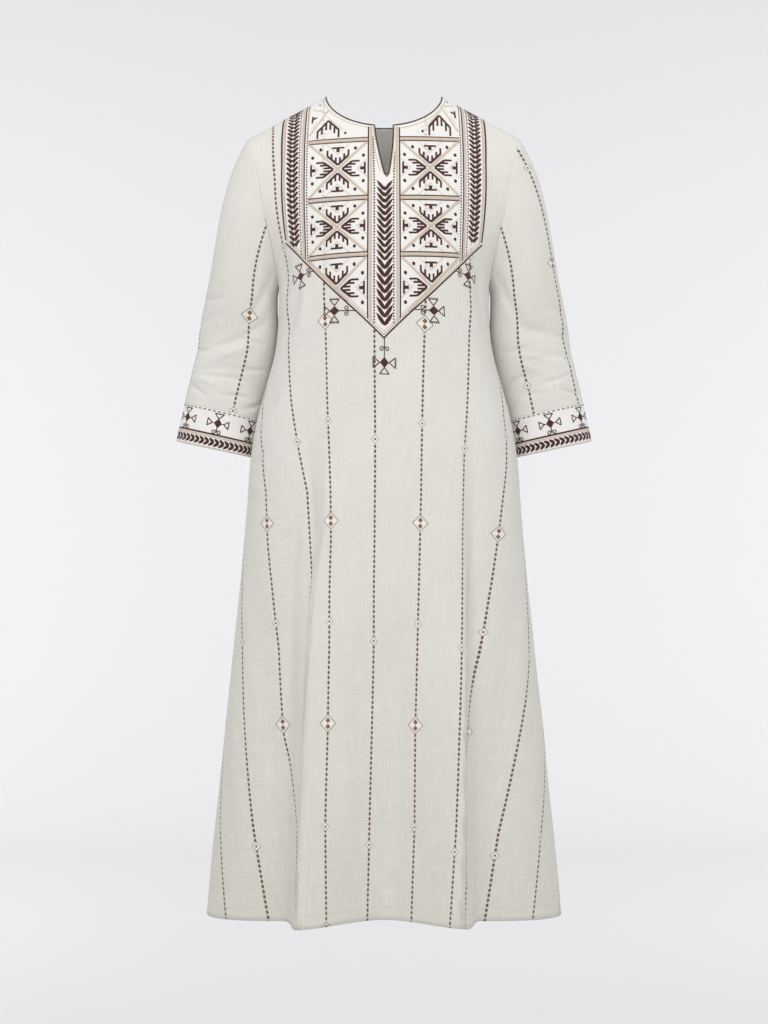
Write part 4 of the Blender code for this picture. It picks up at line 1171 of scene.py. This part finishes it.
def edge_strokes():
    """Lines that follow the bib's outline: a thick maroon one along the V with two thin beige ones
    inside it."""
    maroon, beige = [], []
    for sign in (-1, 1):
        for strokes, inset, half in ((maroon, 0.0, 1.35), (beige, 3.3, 1.2), (beige, 6.6, 0.6)):
            low = BIB_TIP / CHART - inset * 1.42
            reach = 155.2 - (0.0 if inset == 0.0 else 6.0)
            strokes.append(bar((0.0, low), (sign * reach, low - BIB_SLOPE * reach), half, points=70))
    return maroon, beige


def beside_neck(inset, half):
    """A stroke beside the neck's edge and the slit on each side, at an inset in millimetres."""
    strokes = []
    for side in (-1, 1):
        down, across = NECK_LINES[side]
        edge_line = np.stack([side * across, down], axis=-1) / CHART
        step = np.gradient(edge_line, axis=0)
        step = step / np.linalg.norm(step, axis=1, keepdims=True)
        outward = side * np.stack([step[:, 1], -step[:, 0]], axis=-1)
        line = edge_line + inset * outward
        clear = np.linalg.norm(line[:, None] - edge_line[None], axis=-1).min(axis=1) > 0.93 * inset
        line = line[clear][2:-1]
        strokes.append((line, np.full(len(line), half)))
    return strokes


def flat_strokes(strokes, placed=None):
    """Strokes taken from millimetres of a chart to metres of the flat cloth."""
    return [(placed(line) if placed else line * CHART, half * CHART) for line, half in strokes]


def outward_faces(points, faces):
    """Whether the faces of closed shapes face outwards: true if the volume inside them comes out positive."""
    corners = points[faces] - points.mean(axis=0)
    a, b, c, d = (corners[:, k] for k in range(4))
    volume = np.sum(a * np.cross(b, c)) + np.sum(a * np.cross(c, d))
    return volume > 0


def thread_mesh(name, strokes, place, material):
    """Embroidery as one mesh: each stroke is a ring of five points across it, swept along its line
    and capped at both ends, whose middle stands off the cloth and whose edges sink into it."""
    lengths = {}
    for line, half in strokes:
        lengths.setdefault(len(line), []).append((line, half))
    points, faces, flat, first = [], [], [], 0
    ring = len(RIBBON_ACROSS)
    for count, members in lengths.items():
        line = np.stack([member[0] for member in members])
        half = np.stack([member[1] for member in members])
        step = np.gradient(line, axis=1)
        step = step / np.maximum(np.linalg.norm(step, axis=-1, keepdims=True), LEAST_DEPTH)
        sideways = np.stack([-step[..., 1], step[..., 0]], axis=-1)
        spread = half[..., None] * RIBBON_ACROSS
        spots = line[:, :, None] + sideways[:, :, None] * spread[..., None]
        lift = THREAD_LIFT * RIBBON_LIFT * np.minimum(half / FULL_LIFT_HALF, 1.0)[..., None]
        surface = place(spots[..., 0].ravel(), spots[..., 1].ravel(), lift.ravel())
        along = np.cumsum(np.linalg.norm(np.diff(line, axis=1), axis=-1), axis=1)
        along = np.concatenate([np.zeros((len(line), 1)), along], axis=1)
        uv = np.stack([spread, np.broadcast_to(along[..., None], spread.shape)], axis=-1)
        quads = grid_faces(count, ring + 1)
        row, column = quads // (ring + 1), quads % (ring + 1) % ring
        quads = row * ring + column
        shift = np.arange(len(line)) * count * ring
        swept = (shift[:, None, None] + quads[None]).reshape(-1, 4)
        turned = outward_faces(surface, swept)
        cap = np.arange(ring)
        caps = np.concatenate([shift[:, None] + cap[::-1], shift[:, None] + (count - 1) * ring + cap])
        if not turned:
            swept, caps = swept[:, ::-1], caps[:, ::-1]
        faces += (swept + first).tolist() + (caps + first).tolist()
        flat.append(uv.reshape(-1, 2)[np.concatenate([swept.ravel(), caps.ravel()])])
        points.append(surface)
        first += len(surface)
    mesh = bpy.data.meshes.new(name)
    mesh.from_pydata(np.concatenate(points).tolist(), [], faces)
    mesh.uv_layers.new(name="flat").data.foreach_set("uv", np.concatenate(flat).astype(np.float32).ravel())
    mesh.shade_smooth()
    mesh.materials.append(material)
    piece = bpy.data.objects.new(name, mesh)
    bpy.context.collection.objects.link(piece)
    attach(piece, "root")
    return piece


SATIN_BUMP = 0.00012


def satin_height(wire, across, down):
    """Satin stitch: threads side by side across the stroke, a little uneven."""
    return (down * (2 * np.pi / 0.0008)).wave() + noise(wire, across, down, 500.0, 1500.0, 1.0)


def satin(dark, light):
    """A thread's colour as a function of the flat map: darker and lighter by the thread."""
    def colour(wire, across, down):
        worn = noise(wire, across, down, 160.0, 900.0, 2.0)
        return worn.node("MapRange", (), {0: worn, 1: 0.35, 2: 0.70, 3: 0.0, 4: 1.0}).mixed(dark, light)
    return colour


maroon_thread = finish_material("maroon_thread", 0.55, 0.1, satin(THREAD_MAROON, THREAD_MAROON_WORN),
                                satin_height, SATIN_BUMP)
beige_thread = finish_material("beige_thread", 0.55, 0.1, satin(THREAD_BEIGE, THREAD_BEIGE_PALE),
                               satin_height, SATIN_BUMP)
charted_maroon, charted_beige = bib_strokes()
inner_maroon = [cut for cut in (cut_to_bib(stroke, 3.4) for stroke in charted_maroon) if cut]
inner_beige = [cut for cut in (cut_to_bib(stroke, 3.0) for stroke in charted_beige) if cut]
edge_maroon, edge_beige = edge_strokes()


def pendant(stem_length, toothed):
    """A pendant under the bib: a filled diamond with three triangular arms, and a stem that runs up
    from it with two curls. toothed says which arms have small teeth on their bases."""
    strokes = [lozenge((0.0, 0.0), 7.8, 7.8), bar((0.0, -6.5), (0.0, -stem_length), 0.85)]
    for sign in (-1, 1):
        strokes.append(curl((0.0, -7.6 - 0.42 * (stem_length - 7.6)), sign, 3.8, 0.8))
    for turn in range(1, 4):
        c, s = np.cos(turn * np.pi / 2), np.sin(turn * np.pi / 2)
        arm = outline([(0.0, -7.2), (7.2, -16.2), (-7.2, -16.2)], 0.9)
        if turn in toothed:
            arm += [bar((x, -16.4), (x, -18.6), 0.7, points=3) for x in (-6.8, -3.4, 0.0, 3.4, 6.8)]
        strokes += moved(arm, ((c, -s), (s, c)), (0.0, 0.0))
    return strokes


# Pendants: where each diamond's middle and the end of its stem are on the flat cloth, in millimetres
PENDANTS = (
    ((0.6, 398.7), (0.6, 363.5), (1, 3)),
    ((-72.7, 323.4), (-41.0, 324.8), (1, 3)),
    ((72.9, 315.6), (44.8, 318.6), (1, 3)),
    ((-129.7, 267.8), (-104.0, 262.6), (1, 3)),
    ((130.5, 253.5), (106.0, 251.0), (1, 3)),
)
hanging = []
for middle, stem_end, toothed in PENDANTS:
    run = np.array(stem_end) - np.array(middle)
    stem_length = np.hypot(*run)
    up = run / stem_length
    hanging += moved(pendant(stem_length, toothed), ((-up[1], -up[0]), (up[0], -up[1])), middle)
maroon_strokes = (flat_strokes(inner_maroon, bib_place) + flat_strokes(edge_maroon, edge_place)
                  + flat_strokes(hanging))
beige_strokes = (flat_strokes(inner_beige, bib_place) + flat_strokes(edge_beige, edge_place)
                 + flat_strokes(beside_neck(4.2, 0.7)))
bib_maroon = thread_mesh("bib_maroon_thread", maroon_strokes, front.place, maroon_thread)
bib_beige = thread_mesh("bib_beige_thread", beige_strokes, front.place, beige_thread)

# The cuffs' embroidery: dashes along the seam, six diamonds with triangular arms and curls, a maroon
# and a beige line, and a band of leaf chevrons, all in satin stitch through the band.
CUFF_DASH_DOWN = 2.3
CUFF_MOTIFS = 6
CUFF_MOTIF_DOWN = 19.3
CUFF_LINE_DOWN = 36.6
CUFF_BEIGE_DOWN = 39.9
CUFF_LEAF_DOWN = 48.2
CUFF_LEAF_HALF = 6.0
CUFF_LEAF_PITCH = 7.6
CUFF_EDGE_DOWN = 56.4


def cuff_strokes(side):
    """The maroon, the beige and the grey strokes of one cuff, in millimetres round it and down it."""
    half_round = 1000 * cuffs[side].across[CUFF_ROWS // 2, -1] - 0.5
    grey = [bar((u, CUFF_DASH_DOWN), (u + 4.4, CUFF_DASH_DOWN), 1.2)
            for u in np.arange(-half_round + 1.0, half_round - 5.0, 7.6)]
    motif = [lozenge((0.0, 0.0), 7.2, 7.2), bar((0.0, 6.0), (0.0, 14.6), 0.9)]
    motif += [curl((0.0, 13.8), sign, 3.7, 0.85) for sign in (-1, 1)]
    motif += outline([(0.0, -6.6), (6.8, -14.0), (-6.8, -14.0)], 0.95)
    for sign in (-1, 1):
        motif.append(bar((sign * 6.6, 0.0), (sign * 9.0, 0.0), 0.9, points=3))
        motif += outline([(sign * 8.6, 0.0), (sign * 16.0, 5.6), (sign * 16.0, -5.6)], 0.95)
    maroon = []
    for k in range(CUFF_MOTIFS):
        place = (k + 0.5 - CUFF_MOTIFS / 2) * 2 * half_round / CUFF_MOTIFS
        maroon += moved(motif, ((1.0, 0.0), (0.0, 1.0)), (place, CUFF_MOTIF_DOWN))
    maroon.append(bar((-half_round, CUFF_LINE_DOWN), (half_round, CUFF_LINE_DOWN), 1.5, points=130))
    for u in np.arange(-half_round + 8.0, half_round - 8.0, CUFF_LEAF_PITCH):
        maroon += [leaf((u + side * 3.8, CUFF_LEAF_DOWN + sign * CUFF_LEAF_HALF),
                        (u - side * 4.4, CUFF_LEAF_DOWN - sign * 0.4), 2.6) for sign in (-1, 1)]
    beige = [bar((-half_round, down), (half_round, down), half, points=130)
             for down, half in ((CUFF_BEIGE_DOWN, 1.5), (CUFF_EDGE_DOWN, 0.5))]
    return maroon, beige, grey


THREAD_GREY = (0.260, 0.215, 0.180, 1.0)
THREAD_GREY_PALE = (0.340, 0.290, 0.245, 1.0)
grey_thread = finish_material("grey_thread", 0.6, 0.1, satin(THREAD_GREY, THREAD_GREY_PALE),
                              satin_height, SATIN_BUMP)
for side, label in ((-1, "left"), (1, "right")):
    maroon, beige, grey = cuff_strokes(side)
    for kind, strokes, material, slot in (("maroon", maroon, maroon_thread, "maroon_thread"),
                                          ("beige", beige, beige_thread, "beige_thread"),
                                          ("grey", grey, grey_thread, "beige_thread")):
        thread_mesh("cuff_" + kind + "_thread_" + label, flat_strokes(strokes), cuffs[side].place,
                    material)

# The hems: front and back are turned up and stitched 18 mm above their edge with a small running
# stitch in natural thread.
HEM_STITCH_UP = 0.018
HEM_STITCH_PITCH = 0.0050
HEM_STITCH_LENGTH = 0.0030
HEM_STITCH_HALF = 0.0003


def hem_place(sheet):
    """Places on one half by the arc along its hem and the distance above it."""
    hem = sheet.points[-1]
    arc = np.append(0.0, np.cumsum(np.linalg.norm(np.diff(hem, axis=0), axis=1)))
    step = np.linalg.norm(sheet.points[-1] - sheet.points[-2], axis=1)

    def place(u, v, lift):
        column = np.interp(u, arc, np.arange(len(arc)))
        row = len(sheet.points) - 1 - v / np.interp(u, arc, step)
        normal = sheet.read(sheet.normals, row, column)
        return sheet.read(sheet.points, row, column) + lift[..., None] * normal
    return place, arc[-1]


for panel, label in ((front, "front"), (back, "back")):
    for side, hand in ((-1, "left"), (1, "right")):
        place, total = hem_place(panel.halves[side])
        stitches = [(np.array([(u, HEM_STITCH_UP), (u + HEM_STITCH_LENGTH / 2, HEM_STITCH_UP),
                               (u + HEM_STITCH_LENGTH, HEM_STITCH_UP)]), np.full(3, HEM_STITCH_HALF))
                    for u in np.arange(0.002, total - 0.004, HEM_STITCH_PITCH)]
        thread_mesh("hem_stitches_" + label + "_" + hand, stitches, place, beige_thread)

# The studio: a plain pale floor that curves up into a backdrop behind the tunic, soft light from the
# upper front, more of it from the left, and a camera level with the tunic's middle.
FLOOR_DROP = 0.60
BACKDROP_BEHIND = 4.4
BACKDROP_BEND = 0.9
STAGE_HALF_WIDTH = 7.0
STAGE_FRONT = -6.0
STAGE_TOP = 5.0
BACKDROP_COLOUR = (0.850, 0.852, 0.860, 1.0)
CAMERA_DISTANCE = 3.2
CAMERA_HEIGHT = -0.611
CAMERA_LENS = 76.3


def backdrop():
    """The floor and wall as one sheet: flat, then a quarter circle, then upright."""
    floor = -(BODY[-1, 1] + FLOOR_DROP)
    bend = np.linspace(0.0, np.pi / 2, 25)
    y = np.concatenate([[STAGE_FRONT], BACKDROP_BEHIND + BACKDROP_BEND * np.sin(bend),
                        [BACKDROP_BEHIND + BACKDROP_BEND]])
    z = np.concatenate([[floor], floor + BACKDROP_BEND * (1 - np.cos(bend)), [STAGE_TOP]])
    x = np.linspace(-STAGE_HALF_WIDTH, STAGE_HALF_WIDTH, 2)
    grid = np.stack(np.broadcast_arrays(x[None, :], y[:, None], z[:, None]), axis=-1)
    return grid


stage_material = bpy.data.materials.new("stage")
stage_material.use_nodes = True
stage_shader = stage_material.node_tree.nodes["Principled BSDF"]
stage_shader.inputs["Base Color"].default_value = BACKDROP_COLOUR
stage_shader.inputs["Roughness"].default_value = 0.9
grid = backdrop()
flat_map = np.zeros(grid.shape[:2])
stage_piece = sheet_mesh("backdrop", [(grid, flat_map, flat_map, False)], stage_material, 0.0)


def area_light(name, place, aim, size, power):
    """A square soft light at a place, turned to an aim."""
    lamp = bpy.data.lights.new(name, "AREA")
    lamp.shape = "SQUARE"
    lamp.size = size
    lamp.energy = power
    light = bpy.data.objects.new(name, lamp)
    light.location = place
    away = np.array(place, float) - np.array(aim, float)
    flat_run = np.hypot(away[0], away[1])
    light.rotation_euler = (np.arctan2(flat_run, away[2]), 0.0, np.arctan2(away[0], -away[1]))
    bpy.context.collection.objects.link(light)


LIGHTS = (
    ("key", (-1.5, -3.2, 1.1), (0.0, 0.0, -0.3), 1.6, 20.0),
    ("fill", (1.1, -3.5, 0.2), (0.0, 0.0, -0.3), 2.2, 22.0),
    ("top", (0.0, -1.5, 2.2), (0.0, 0.0, -0.2), 1.4, 21.0),
    ("backdrop_left", (-3.2, 2.6, -0.2), (-0.8, 5.1, -1.3), 1.8, 27.0),
    ("backdrop_right", (3.2, 2.6, -0.2), (0.8, 5.1, -1.3), 1.8, 25.0),
)
for light_row in LIGHTS:
    area_light(*light_row)

scene = bpy.context.scene
world = scene.world or bpy.data.worlds.new("studio")
scene.world = world
world.use_nodes = True
world.node_tree.nodes["Background"].inputs["Color"].default_value = (0.95, 0.95, 0.96, 1.0)
world.node_tree.nodes["Background"].inputs["Strength"].default_value = 0.74
scene.view_settings.view_transform = "Standard"

camera_data = bpy.data.cameras.new("camera")
camera_data.lens = CAMERA_LENS
camera_data.sensor_width = 36.0
camera = bpy.data.objects.new("camera", camera_data)
camera.location = (0.0, -CAMERA_DISTANCE, CAMERA_HEIGHT)
camera.rotation_euler = (np.pi / 2, 0.0, 0.0)
bpy.context.collection.objects.link(camera)
scene.camera = camera
